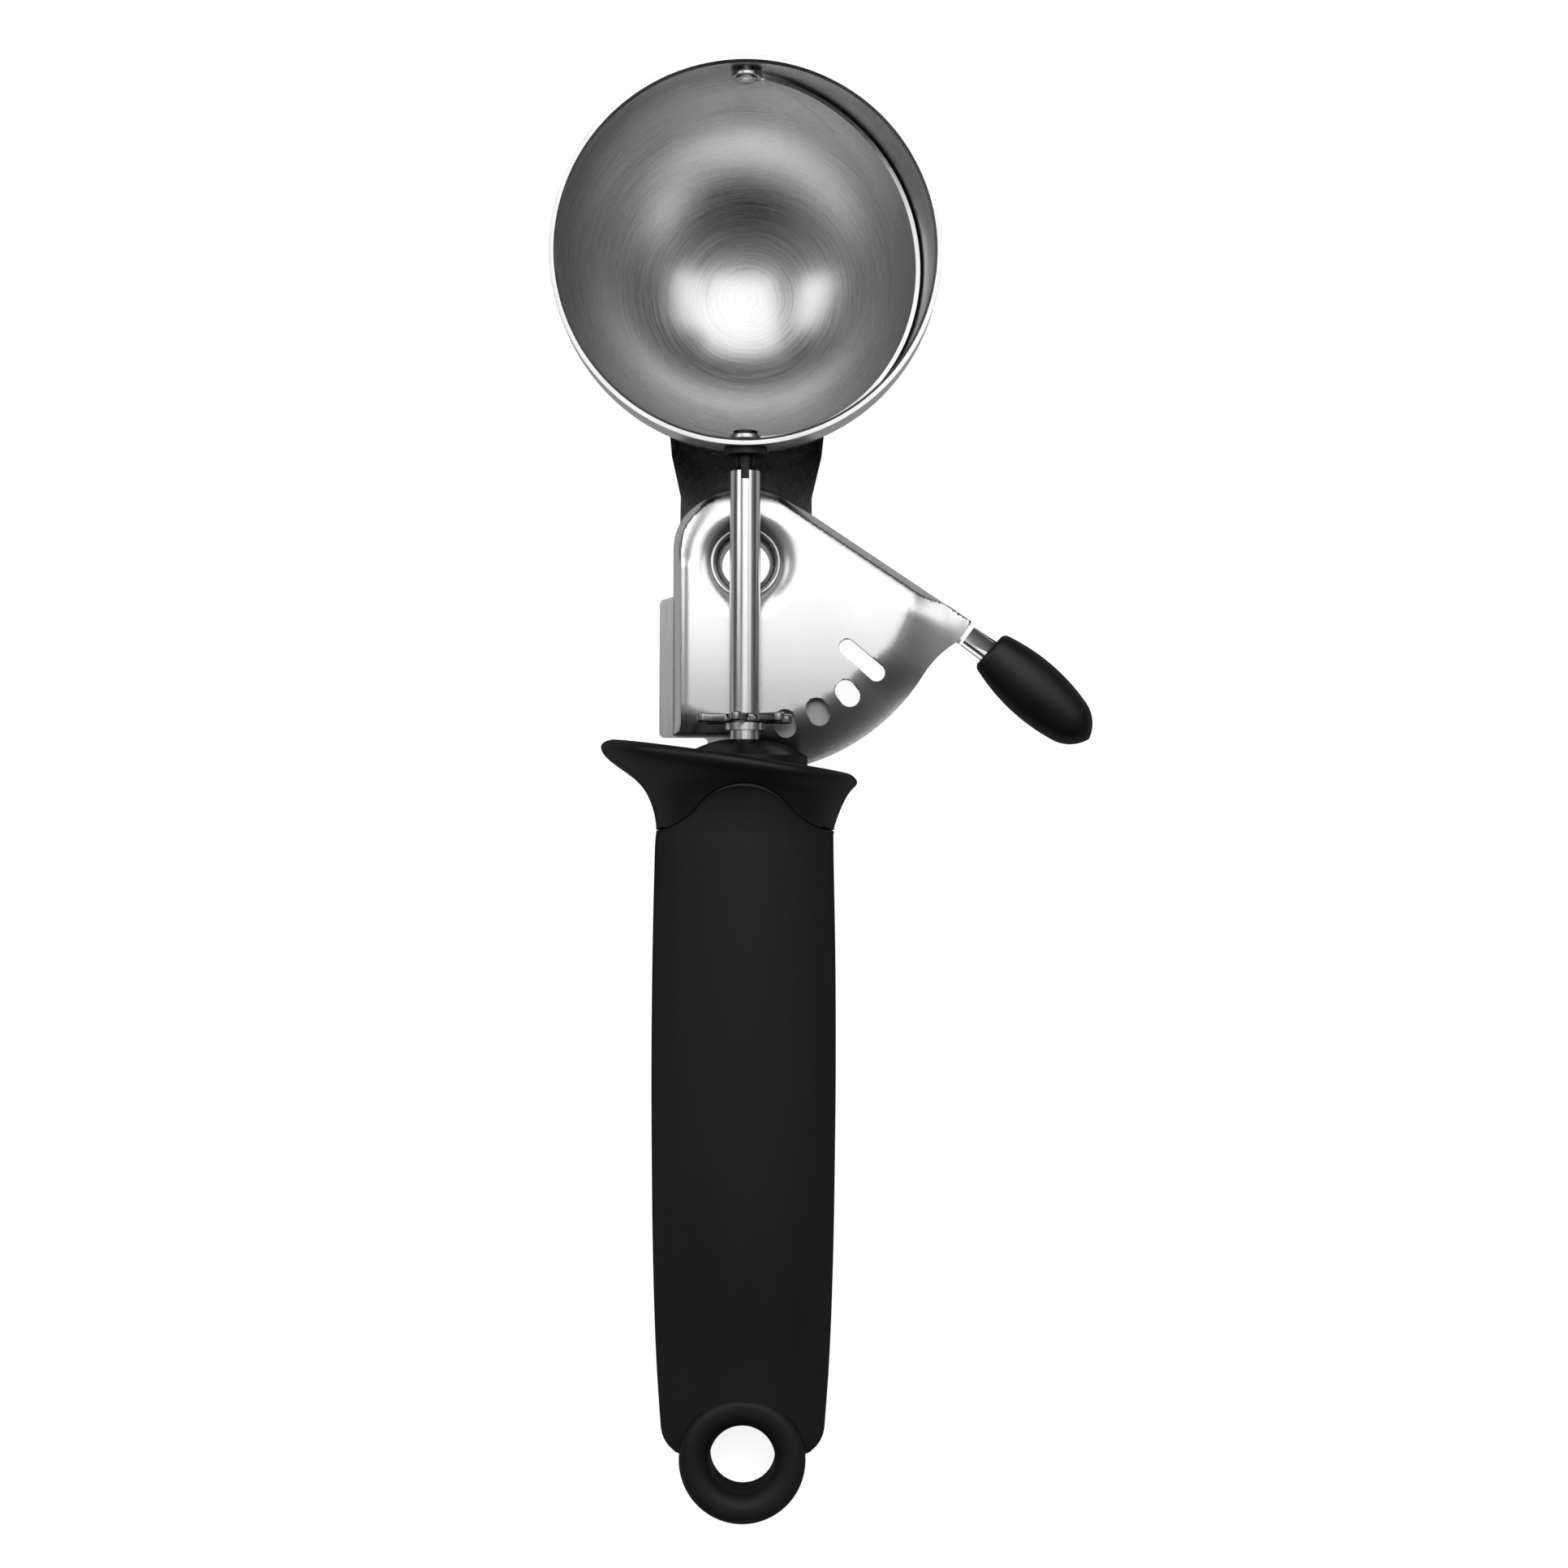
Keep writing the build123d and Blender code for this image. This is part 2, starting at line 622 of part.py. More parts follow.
def plate_pocket():
    # Room in the guard and the plug for the lower edge of the lever plate to swing
    return cylinder_z(plate_arc_radius + pocket_gap, frame_front, plate_front + pocket_gap, pivot_level)


def make_handle_core():
    core = handle_inside()
    ring = cylinder_z(ring_radius, -ring_thickness / 2, ring_thickness / 2)
    ring = fillet(ring.edges().filter_by(GeomType.CIRCLE), ring_round)
    core = core - cylinder_z(ring_radius - ring_round, -ring_thickness, ring_thickness) + ring
    hole = cylinder_z(hang_hole_radius, -ring_thickness, ring_thickness)
    core -= hole
    hole_edges = []
    for edge in core.edges().filter_by(GeomType.CIRCLE):
        middle = edge @ 0.5
        if abs(hypot(middle.X, middle.Y) - hang_hole_radius) < hang_hole_round / 100:
            hole_edges.append(edge)
    core = fillet(hole_edges, hang_hole_round)
    core -= cylinder_y(chamber_radius, chamber_foot - lower_bush_length, core_top)
    core -= frame_slot()
    for level in frame_pin_levels:
        core -= cylinder_z(frame_pin_radius + press_gap, 2 * frame_back, frame_pin_front, level)
    return core


def make_handle_shells():
    # Guard and grip share the handle's outside and part along the curved line
    outside = handle_body(0) + guard_body()
    outside -= handle_inside()
    outside -= boss_seat(2 * boss_top)
    outside -= cylinder_z(ring_radius, -ring_thickness, ring_thickness)
    outside -= frame_slot()
    outside -= plate_pocket()
    lower = below_parting()
    return outside - lower, outside & lower


def boss_seat(top):
    # Round seat of the domed plug, flat where the frame's tang runs behind it
    seat = cylinder_y(boss_radius, core_top, top)
    return seat - block(-boss_radius, boss_radius, core_top, top, 2 * frame_back, frame_front + slot_gap)


def make_bearing_boss():
    dome = Pos(0, boss_top - boss_dome_radius, 0) * Sphere(boss_dome_radius)
    boss = boss_seat(2 * boss_top) & dome
    boss -= cylinder_y(bush_radius + press_gap, 0, 2 * boss_top)
    return boss - plate_pocket()


def make_shaft_bush():
    edge_level = boss_top - boss_dome_radius + sqrt(boss_dome_radius**2 - bush_radius**2)
    bush = cylinder_y(bush_radius, core_top, edge_level)
    return bush - cylinder_y(shaft_radius + running_gap, 0, 2 * boss_top)


def make_lower_bush():
    foot = chamber_foot - lower_bush_length
    bush = cylinder_y(chamber_radius - press_gap, foot, chamber_foot)
    return bush - cylinder_y(shaft_radius + running_gap, foot + lower_bush_seat, chamber_foot)


def make_shaft_clip():
    clip = cylinder_y(clip_radius, clip_level, clip_level + clip_thickness)
    inner = shaft_radius - clip_groove_depth + press_gap
    clip -= cylinder_y(inner, clip_level, clip_level + clip_thickness)
    half = clip_mouth / 2
    return clip - block(0, 2 * clip_radius, clip_level, clip_level + clip_thickness, -half, half)


def make_spring_collar():
    top = spring_collar_foot + spring_collar_height
    collar = cylinder_y(spring_collar_radius, spring_collar_foot, top)
    collar -= cylinder_y(shaft_radius + press_gap, spring_collar_foot, top)
    pin_level = (spring_collar_foot + top) / 2
    return collar - cylinder_z(spring_pin_radius + press_gap, -chamber_radius, chamber_radius, pin_level)


def make_spring_pin():
    level = spring_collar_foot + spring_collar_height / 2
    return cylinder_z(spring_pin_radius, -spring_collar_radius, spring_collar_radius, level)


def make_frame_pins():
    return [cylinder_z(frame_pin_radius, frame_back, frame_pin_front, level) for level in frame_pin_levels]


def spring_point(turn):
    angle = 2 * pi * turn
    level = spring_foot + spring_pitch * turn
    return Vector(spring_mean_radius * cos(angle), level, -spring_mean_radius * sin(angle))


def spring_tangent(turn):
    angle = 2 * pi * turn
    rise = spring_pitch / (2 * pi)
    return Vector(-spring_mean_radius * sin(angle), rise, -spring_mean_radius * cos(angle)).normalized()


def make_return_spring():
    # One tube along pairs of arcs, a pair for each quarter turn
    arcs = []
    quarters = spring_turns * 4
    for index in range(quarters):
        low = index / 4
        high = (index + 1) / 4
        start, end = spring_point(low), spring_point(high)
        start_tangent, end_tangent = spring_tangent(low), spring_tangent(high)
        chord = end - start
        both = start_tangent + end_tangent
        a = both.dot(both) - 4
        b = -2 * chord.dot(both)
        c = chord.dot(chord)
        handle = (-b - sqrt(b * b - 4 * a * c)) / (2 * a)
        first = start + start_tangent * handle
        second = end - end_tangent * handle
        middle = (first + second) * 0.5
        arcs.append(TangentArc(start, middle, tangent=start_tangent))
        arcs.append(TangentArc(middle, end, tangent=second - first))
    path = Wire(arcs)
    section = Plane(origin=path @ 0, z_dir=path % 0) * Circle(spring_wire / 2)
    turn_samples = 24
    near_samples = 16
    points = [spring_point(index / turn_samples) for index in range(spring_turns * turn_samples + 1)]
    spans = [(far - near).length for i, near in enumerate(points) for far in points[i + near_samples:]]
    print("return_spring: least gap to itself", round(min(spans) - spring_wire, 2), "mm")
    return sweep(section, path)


def make_pieces():
    core = make_handle_core()
    guard, grip = make_handle_shells()
    tang = make_lever_tang()
    return {
        "bowl": make_bowl(),
        "neck_frame": make_neck_frame(),
        "sweep_blade": make_sweep_blade(),
        "blade_pivot_rivet": make_blade_rivet(),
        "blade_stub": make_blade_stub(),
        "bowl_bush": make_bowl_bush(),
        "drive_shaft": make_drive_shaft(),
        "star_pinion": make_star_pinion(),
        "pinion_collar": make_pinion_collar(),
        "lever_plate": make_lever_plate(),
        "lever_tang": tang,
        "thumb_paddle": make_thumb_paddle(tang),
        "pivot_eyelet": make_pivot_eyelet(),
        "pivot_spacer": make_pivot_spacer(),
        "handle_core": core,
        "guard_collar": guard,
        "grip_sleeve": grip,
        "bearing_boss": make_bearing_boss(),
        "shaft_bush": make_shaft_bush(),
        "lower_bush": make_lower_bush(),
        "shaft_clip": make_shaft_clip(),
        "return_spring": make_return_spring(),
        "spring_collar": make_spring_collar(),
        "spring_collar_pin": make_spring_pin(),
        "frame_pins": make_frame_pins(),
    }


os.makedirs("parts", exist_ok=True)
print("rest pitch", round(rest_pitch, 4), "degrees")
for name, shape in make_pieces().items():
    solids = shape if isinstance(shape, list) else shape.solids()
    tipped = [solid.rotate(Axis.X, rest_pitch) for solid in solids]
    piece = tipped[0] if len(tipped) == 1 else Compound(children=tipped)
    export_step(piece, f"parts/{name}.step")
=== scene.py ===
import bmesh
import bpy
import json
from math import asin, atan2, cos, pi, radians, sin, sqrt
from mathutils import Matrix, Vector


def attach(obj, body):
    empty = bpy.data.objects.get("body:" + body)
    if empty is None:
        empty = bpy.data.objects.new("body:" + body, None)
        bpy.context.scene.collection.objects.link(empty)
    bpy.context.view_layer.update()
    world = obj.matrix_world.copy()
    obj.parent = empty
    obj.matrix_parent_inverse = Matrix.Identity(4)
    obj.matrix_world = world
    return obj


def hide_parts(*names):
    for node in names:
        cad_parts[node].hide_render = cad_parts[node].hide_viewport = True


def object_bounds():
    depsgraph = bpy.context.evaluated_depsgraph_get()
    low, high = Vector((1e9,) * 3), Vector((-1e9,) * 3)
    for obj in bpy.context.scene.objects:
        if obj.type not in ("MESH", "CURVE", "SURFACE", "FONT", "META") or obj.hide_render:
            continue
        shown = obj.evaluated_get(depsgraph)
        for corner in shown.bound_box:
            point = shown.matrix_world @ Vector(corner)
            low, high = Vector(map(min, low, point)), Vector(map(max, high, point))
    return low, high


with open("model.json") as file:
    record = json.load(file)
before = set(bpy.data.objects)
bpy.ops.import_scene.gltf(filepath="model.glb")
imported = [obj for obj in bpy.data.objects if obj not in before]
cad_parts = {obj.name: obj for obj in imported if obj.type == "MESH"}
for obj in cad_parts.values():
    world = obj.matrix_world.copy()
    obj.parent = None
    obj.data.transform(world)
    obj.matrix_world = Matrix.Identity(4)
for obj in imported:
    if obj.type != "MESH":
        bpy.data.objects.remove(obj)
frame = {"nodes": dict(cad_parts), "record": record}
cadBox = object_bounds()
print("frame loaded,", len(frame["nodes"]), "nodes")

# Pieces are drawn in millimetres in the scoop's own axes, as in the CAD: x to the lever, y to the bowl,
# z out of the bowl's mouth. The hanging hole's axis in the record says how far the scoop is tipped.
hangAxis = frame["record"]["mounts"][0]["axis"]
pitch = atan2(-hangAxis[1], hangAxis[2])
millimetre = 0.001  # in the frame's metres
closeGap = 1e-3  # millimetres: points this near are one point
fineGap = 1e-4
scoopToWorld = Matrix.Rotation(pitch, 4, "X") @ Matrix.Scale(millimetre, 4)


def worldPoint(x, y, z):
    return scoopToWorld @ Vector((x, y, z))


# Shared shader groups

def newGroup(name, inputs, outputs):
    group = bpy.data.node_groups.new(name, "ShaderNodeTree")
    for label, kind in inputs:
        group.interface.new_socket(label, in_out="INPUT", socket_type=kind)
    for label, kind in outputs:
        group.interface.new_socket(label, in_out="OUTPUT", socket_type=kind)
    return group, group.nodes.new("NodeGroupInput"), group.nodes.new("NodeGroupOutput")


def addNode(tree, kind, values=(), **settings):
    node = tree.nodes.new(kind)
    for key, value in settings.items():
        setattr(node, key, value)
    for label, value in dict(values).items():
        node.inputs[label].default_value = value
    return node


def makeBrushMarks():
    # Streaks along a stretched direction, and broad handling smudges
    group, gIn, gOut = newGroup(
        "brushMarks",
        [("Vector", "NodeSocketVector"), ("Stretch", "NodeSocketVector"),
         ("Smudge Scale", "NodeSocketFloat")],
        [("Marks", "NodeSocketFloat"), ("Smudge", "NodeSocketFloat")],
    )
    stretch = addNode(group, "ShaderNodeVectorMath", operation="MULTIPLY")
    marks = addNode(group, "ShaderNodeTexNoise", {"Scale": 1.0, "Detail": 4.0, "Roughness": 0.7})
    widen = addNode(group, "ShaderNodeMapRange", {"From Min": 0.3, "From Max": 0.7})
    smudge = addNode(group, "ShaderNodeTexNoise", {"Detail": 3.0, "Roughness": 0.55})
    spread = addNode(group, "ShaderNodeMapRange", {"From Min": 0.35, "From Max": 0.7})
    group.links.new(gIn.outputs["Vector"], stretch.inputs[0])
    group.links.new(gIn.outputs["Stretch"], stretch.inputs[1])
    group.links.new(stretch.outputs["Vector"], marks.inputs["Vector"])
    group.links.new(marks.outputs["Fac"], widen.inputs["Value"])
    group.links.new(widen.outputs["Result"], gOut.inputs["Marks"])
    group.links.new(gIn.outputs["Vector"], smudge.inputs["Vector"])
    group.links.new(gIn.outputs["Smudge Scale"], smudge.inputs["Scale"])
    group.links.new(smudge.outputs["Fac"], spread.inputs["Value"])
    group.links.new(spread.outputs["Result"], gOut.inputs["Smudge"])
    return group


def makeMouldedSkin():
    # Fine pebbled skin of a moulded surface, and slow changes of tone
    group, gIn, gOut = newGroup(
        "mouldedSkin",
        [("Vector", "NodeSocketVector"), ("Grain Scale", "NodeSocketFloat"),
         ("Patch Scale", "NodeSocketFloat")],
        [("Height", "NodeSocketFloat"), ("Patches", "NodeSocketFloat")],
    )
    grain = addNode(group, "ShaderNodeTexNoise", {"Detail": 2.0, "Roughness": 0.6})
    pebbles = addNode(group, "ShaderNodeTexVoronoi", feature="SMOOTH_F1")
    both = addNode(group, "ShaderNodeMath", operation="ADD")
    patches = addNode(group, "ShaderNodeTexNoise", {"Detail": 3.0})
    spread = addNode(group, "ShaderNodeMapRange", {"From Min": 0.3, "From Max": 0.7})
    for texture in (grain, pebbles):
        group.links.new(gIn.outputs["Vector"], texture.inputs["Vector"])
        group.links.new(gIn.outputs["Grain Scale"], texture.inputs["Scale"])
    group.links.new(grain.outputs["Fac"], both.inputs[0])
    group.links.new(pebbles.outputs["Distance"], both.inputs[1])
    group.links.new(both.outputs[0], gOut.inputs["Height"])
    group.links.new(gIn.outputs["Vector"], patches.inputs["Vector"])
    group.links.new(gIn.outputs["Patch Scale"], patches.inputs["Scale"])
    group.links.new(patches.outputs["Fac"], spread.inputs["Value"])
    group.links.new(spread.outputs["Result"], gOut.inputs["Patches"])
    return group


markRadius = 30.0  # turns an angle in the bowl into a length, close to the bowl's own radius


def makeTurnedCoordinates():
    # Arc length from the bowl's bottom, so that marks run round it in circles
    group, gIn, gOut = newGroup(
        "turnedCoordinates", [("Vector", "NodeSocketVector")], [("Vector", "NodeSocketVector")]
    )
    split = addNode(group, "ShaderNodeSeparateXYZ")
    flat = addNode(group, "ShaderNodeCombineXYZ")
    radius = addNode(group, "ShaderNodeVectorMath", operation="LENGTH")
    down = addNode(group, "ShaderNodeMath", operation="MULTIPLY")
    down.inputs[1].default_value = -1.0
    polar = addNode(group, "ShaderNodeMath", operation="ARCTAN2")
    arc = addNode(group, "ShaderNodeMath", operation="MULTIPLY")
    arc.inputs[1].default_value = markRadius
    join = addNode(group, "ShaderNodeCombineXYZ")
    group.links.new(gIn.outputs["Vector"], split.inputs["Vector"])
    group.links.new(split.outputs["X"], flat.inputs["X"])
    group.links.new(split.outputs["Y"], flat.inputs["Y"])
    group.links.new(flat.outputs["Vector"], radius.inputs[0])
    group.links.new(split.outputs["Z"], down.inputs[0])
    group.links.new(radius.outputs["Value"], polar.inputs[0])
    group.links.new(down.outputs[0], polar.inputs[1])
    group.links.new(polar.outputs[0], arc.inputs[0])
    group.links.new(split.outputs["X"], join.inputs["X"])
    group.links.new(split.outputs["Y"], join.inputs["Y"])
    group.links.new(arc.outputs[0], join.inputs["Z"])
    group.links.new(join.outputs["Vector"], gOut.inputs["Vector"])
    return group


brushMarks = makeBrushMarks()
mouldedSkin = makeMouldedSkin()
turnedCoordinates = makeTurnedCoordinates()


def placeGroup(tree, group, **values):
    node = tree.nodes.new("ShaderNodeGroup")
    node.node_tree = group
    for label, value in values.items():
        node.inputs[label.replace("_", " ")].default_value = value
    return node


def newMaterial(name):
    material = bpy.data.materials.new(name)
    material.use_nodes = True
    return material, material.node_tree, material.node_tree.nodes["Principled BSDF"]


def scoopCoordinates(tree, centre=(0, 0, 0)):
    # Object coordinates in millimetres along the scoop's own axes
    place = addNode(tree, "ShaderNodeTexCoord")
    turn = addNode(tree, "ShaderNodeMapping", vector_type="TEXTURE")
    turn.inputs["Location"].default_value = worldPoint(*centre)
    turn.inputs["Rotation"].default_value = (pitch, 0, 0)
    turn.inputs["Scale"].default_value = (millimetre, millimetre, millimetre)
    tree.links.new(place.outputs["Object"], turn.inputs["Vector"])
    return turn.outputs["Vector"]


def blendColours(tree, factor, low, high):
    mix = addNode(tree, "ShaderNodeMix", data_type="RGBA")
    mix.inputs["A"].default_value = (*low, 1)
    mix.inputs["B"].default_value = (*high, 1)
    tree.links.new(factor, mix.inputs["Factor"])
    return mix.outputs["Result"]


def mapValue(tree, value, low, high):
    span = addNode(tree, "ShaderNodeMapRange", {"To Min": low, "To Max": high})
    tree.links.new(value, span.inputs["Value"])
    return span.outputs["Result"]


def addBump(tree, shader, height, strength, distance):
    bump = addNode(tree, "ShaderNodeBump", {"Strength": strength, "Distance": distance})
    tree.links.new(height, bump.inputs["Height"])
    tree.links.new(bump.outputs["Normal"], shader.inputs["Normal"])


def steelFinish(name, look):
    material, tree, shader = newMaterial(name)
    vector = scoopCoordinates(tree, look.get("centre", (0, 0, 0)))
    if look.get("turned"):
        turned = placeGroup(tree, turnedCoordinates)
        tree.links.new(vector, turned.inputs["Vector"])
        vector = turned.outputs["Vector"]
    marks = placeGroup(tree, brushMarks, Stretch=look["stretch"], Smudge_Scale=look["smudgeScale"])
    tree.links.new(vector, marks.inputs["Vector"])
    shader.inputs["Metallic"].default_value = 1.0
    colour = blendColours(tree, marks.outputs["Marks"], look["dark"], look["light"])
    tree.links.new(colour, shader.inputs["Base Color"])
    both = addNode(tree, "ShaderNodeMath", operation="ADD")
    tree.links.new(mapValue(tree, marks.outputs["Marks"], *look["markRoughness"]), both.inputs[0])
    tree.links.new(mapValue(tree, marks.outputs["Smudge"], *look["smudgeRoughness"]), both.inputs[1])
    tree.links.new(both.outputs[0], shader.inputs["Roughness"])
    addBump(tree, shader, marks.outputs["Marks"], look["bump"], look["depth"])
    return material


def mouldedFinish(name, look):
    material, tree, shader = newMaterial(name)
    vector = scoopCoordinates(tree)
    if "stretch" in look:
        draw = addNode(tree, "ShaderNodeVectorMath", operation="MULTIPLY")
        draw.inputs[1].default_value = look["stretch"]
        tree.links.new(vector, draw.inputs[0])
        vector = draw.outputs["Vector"]
    skin = placeGroup(tree, mouldedSkin, Grain_Scale=look["grainScale"], Patch_Scale=look["patchScale"])
    tree.links.new(vector, skin.inputs["Vector"])
    colour = blendColours(tree, skin.outputs["Patches"], look["dark"], look["light"])
    tree.links.new(colour, shader.inputs["Base Color"])
    tree.links.new(mapValue(tree, skin.outputs["Patches"], *look["roughness"]), shader.inputs["Roughness"])
    edge = addNode(tree, "ShaderNodeLayerWeight", {"Blend": 0.5})
    fade = addNode(tree, "ShaderNodeMapRange", {
        "From Min": 0.2, "From Max": 0.75, "To Min": look["specular"], "To Max": look["edgeSpecular"]})
    tree.links.new(edge.outputs["Facing"], fade.inputs["Value"])
    tree.links.new(fade.outputs["Result"], shader.inputs["Specular IOR Level"])
    addBump(tree, shader, skin.outputs["Height"], look["bump"], look["depth"])
    return material


bowlLevel = 186.1
finishes = {
    "bowl_steel": steelFinish("spunBowlSteel", {
        "centre": (0, bowlLevel, 0), "turned": True, "stretch": (0.09, 0.09, 4.5), "smudgeScale": 0.05,
        "dark": (0.6, 0.6, 0.6), "light": (0.84, 0.84, 0.84),
        "markRoughness": (0.22, 0.3), "smudgeRoughness": (0.0, 0.05), "bump": 0.15, "depth": 0.00001}),
    # The frame's steel is given a darker tone than the other steels as painted shade, so that the neck
    # reads dark
    "frame_steel": steelFinish("rolledFrameSteel", {
        "stretch": (3.0, 0.05, 3.0), "smudgeScale": 0.09,
        "dark": (0.3, 0.3, 0.31), "light": (0.42, 0.42, 0.43),
        "markRoughness": (0.2, 0.28), "smudgeRoughness": (0.0, 0.08), "bump": 0.15, "depth": 0.00001}),
    "lever_steel": steelFinish("satinLeverSteel", {
        "stretch": (4.5, 3.0, 4.5), "smudgeScale": 0.08,
        "dark": (0.8, 0.8, 0.8), "light": (0.87, 0.87, 0.87),
        "markRoughness": (0.2, 0.25), "smudgeRoughness": (0.0, 0.04), "bump": 0.08, "depth": 0.00001}),
    "blade_steel": steelFinish("satinBladeSteel", {
        "centre": (0, bowlLevel, 0), "turned": True, "stretch": (0.03, 0.03, 5.0), "smudgeScale": 0.08,
        "dark": (0.62, 0.62, 0.62), "light": (0.8, 0.8, 0.8),
        "markRoughness": (0.22, 0.3), "smudgeRoughness": (0.0, 0.06), "bump": 0.2, "depth": 0.00001}),
    "shaft_steel": steelFinish("drawnBarSteel", {
        "stretch": (6.0, 0.08, 6.0), "smudgeScale": 0.1,
        "dark": (0.66, 0.66, 0.67), "light": (0.8, 0.8, 0.81),
        "markRoughness": (0.14, 0.22), "smudgeRoughness": (0.0, 0.05), "bump": 0.15, "depth": 0.00001}),
    # The pinion's steel is given a darker tone than the shaft's as painted shade, for the star's dark
    # polished look
    "pinion_steel": steelFinish("tumbledPinionSteel", {
        "stretch": (3.0, 3.0, 3.0), "smudgeScale": 0.4,
        "dark": (0.3, 0.3, 0.31), "light": (0.44, 0.44, 0.45),
        "markRoughness": (0.12, 0.2), "smudgeRoughness": (0.0, 0.06), "bump": 0.2, "depth": 0.00001}),
    "eyelet_steel": steelFinish("formedEyeletSteel", {
        "stretch": (2.0, 2.0, 0.4), "smudgeScale": 0.3,
        "dark": (0.6, 0.6, 0.61), "light": (0.76, 0.76, 0.77),
        "markRoughness": (0.14, 0.22), "smudgeRoughness": (0.0, 0.05), "bump": 0.1, "depth": 0.00001}),
    "spring_wire": steelFinish("springWire", {
        "stretch": (4.0, 4.0, 4.0), "smudgeScale": 0.5,
        "dark": (0.3, 0.3, 0.32), "light": (0.44, 0.44, 0.46),
        "markRoughness": (0.24, 0.34), "smudgeRoughness": (0.0, 0.06), "bump": 0.2, "depth": 0.00001}),
    "bush_nylon": mouldedFinish("bushNylon", {
        "grainScale": 4.0, "patchScale": 0.3, "dark": (0.03, 0.03, 0.03), "light": (0.05, 0.05, 0.05),
        "roughness": (0.42, 0.52), "specular": 0.4, "edgeSpecular": 0.02, "bump": 0.15, "depth": 0.00002}),
    "core_plastic": mouldedFinish("corePlastic", {
        "grainScale": 3.0, "patchScale": 0.12, "stretch": (1.0, 0.35, 1.0),
        "dark": (0.011, 0.011, 0.0115), "light": (0.017, 0.017, 0.0175),
        "roughness": (0.5, 0.62), "specular": 0.4, "edgeSpecular": 0.02, "bump": 0.3, "depth": 0.00004}),
    "guard_plastic": mouldedFinish("guardPlastic", {
        "grainScale": 3.5, "patchScale": 0.1, "dark": (0.006, 0.006, 0.0063), "light": (0.01, 0.01, 0.0104),
        "roughness": (0.4, 0.5), "specular": 0.4, "edgeSpecular": 0.02, "bump": 0.12, "depth": 0.00003}),
    "grip_rubber": mouldedFinish("gripRubber", {
        "grainScale": 2.6, "patchScale": 0.09, "stretch": (1.0, 0.3, 1.0),
        "dark": (0.012, 0.012, 0.0125), "light": (0.018, 0.018, 0.0186),
        "roughness": (0.56, 0.68), "specular": 0.4, "edgeSpecular": 0.02, "bump": 0.35, "depth": 0.00005}),
    "paddle_rubber": mouldedFinish("paddleRubber", {
        "grainScale": 3.4, "patchScale": 0.15,
        "dark": (0.006, 0.006, 0.0063), "light": (0.011, 0.011, 0.0114),
        "roughness": (0.36, 0.46), "specular": 0.42, "edgeSpecular": 0.02, "bump": 0.15, "depth": 0.00003}),
}
print("finishes made:", len(finishes))

# What each CAD node is made of and which body carries it, as the record says
nodeSlots = {part["node"]: part["material_slot"] for part in frame["record"]["subparts"]}
bodies = frame["record"]["behaviour"]["bodies"]
nodeBodies = {node: body for body, nodes in bodies.items() for node in nodes}


def placePiece(bm, name, node, sharpDegrees=32):
    # Turns a drawn piece into an object that stands for its CAD node
    mesh = bpy.data.meshes.new(name)
    bm.to_mesh(mesh)
    bm.free()
    mesh.shade_smooth()
    mesh.set_sharp_from_angle(angle=radians(sharpDegrees))
    mesh.materials.append(finishes[nodeSlots[node]])
    piece = bpy.data.objects.new(name, mesh)
    bpy.context.scene.collection.objects.link(piece)
    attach(piece, nodeBodies[node])
    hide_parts(node)
    print("piece", name, "faces", len(mesh.polygons))
    return piece


def keepFlats(piece):
    # Broad faces keep their own normals, so that only the rounded edges bend the light
    weighted = piece.modifiers.new("keepFlats", "WEIGHTED_NORMAL")
    weighted.keep_sharp = True
    weighted.weight = 80
    return piece


def drawnPiece(bm, name, node, sharpDegrees=32):
    bmesh.ops.transform(bm, matrix=scoopToWorld, verts=bm.verts)
    return placePiece(bm, name, node, sharpDegrees)


def smoothedNode(node, name, sharpDegrees=28):
    # The CAD node's own shape, merged and smoothed
    bm = bmesh.new()
    bm.from_mesh(frame["nodes"][node].data)
    bmesh.ops.remove_doubles(bm, verts=bm.verts, dist=closeGap * millimetre)
    return keepFlats(placePiece(bm, name, node, sharpDegrees))


def openProfile(bm, points):
    verts = [bm.verts.new(point) for point in points]
    return verts, [bm.edges.new(pair) for pair in zip(verts, verts[1:])]


def turnPiece(points, axis, steps):
    # Spins a closed profile right round
    bm = bmesh.new()
    verts, edges = openProfile(bm, points)
    edges.append(bm.edges.new((verts[-1], verts[0])))
    bmesh.ops.spin(
        bm, geom=verts + edges, cent=(0, 0, 0), axis=axis, angle=2 * pi, steps=steps, use_merge=True
    )
    bmesh.ops.remove_doubles(bm, verts=bm.verts, dist=fineGap)
    bmesh.ops.recalc_face_normals(bm, faces=bm.faces)
    return bm


def bevelEdges(bm, edges, width, segments):
    bmesh.ops.bevel(
        bm, geom=edges, offset=width, affect="EDGES", segments=segments, profile=0.5, material=-1
    )


def easeBetween(low, high, value):
    # Rises smoothly from 0 at low to 1 at high
    share = min(max((value - low) / (high - low), 0), 1)
    return share * share * (3 - 2 * share)


# Bowl: two arcs and a rim, spun round the mouth's axis
bowlShape = {"radius": 30.5, "wall": 1.15, "rim": 4.5, "innerRound": 0.42, "outerRound": 0.1,
             "arcSteps": 56, "spinSteps": 224}


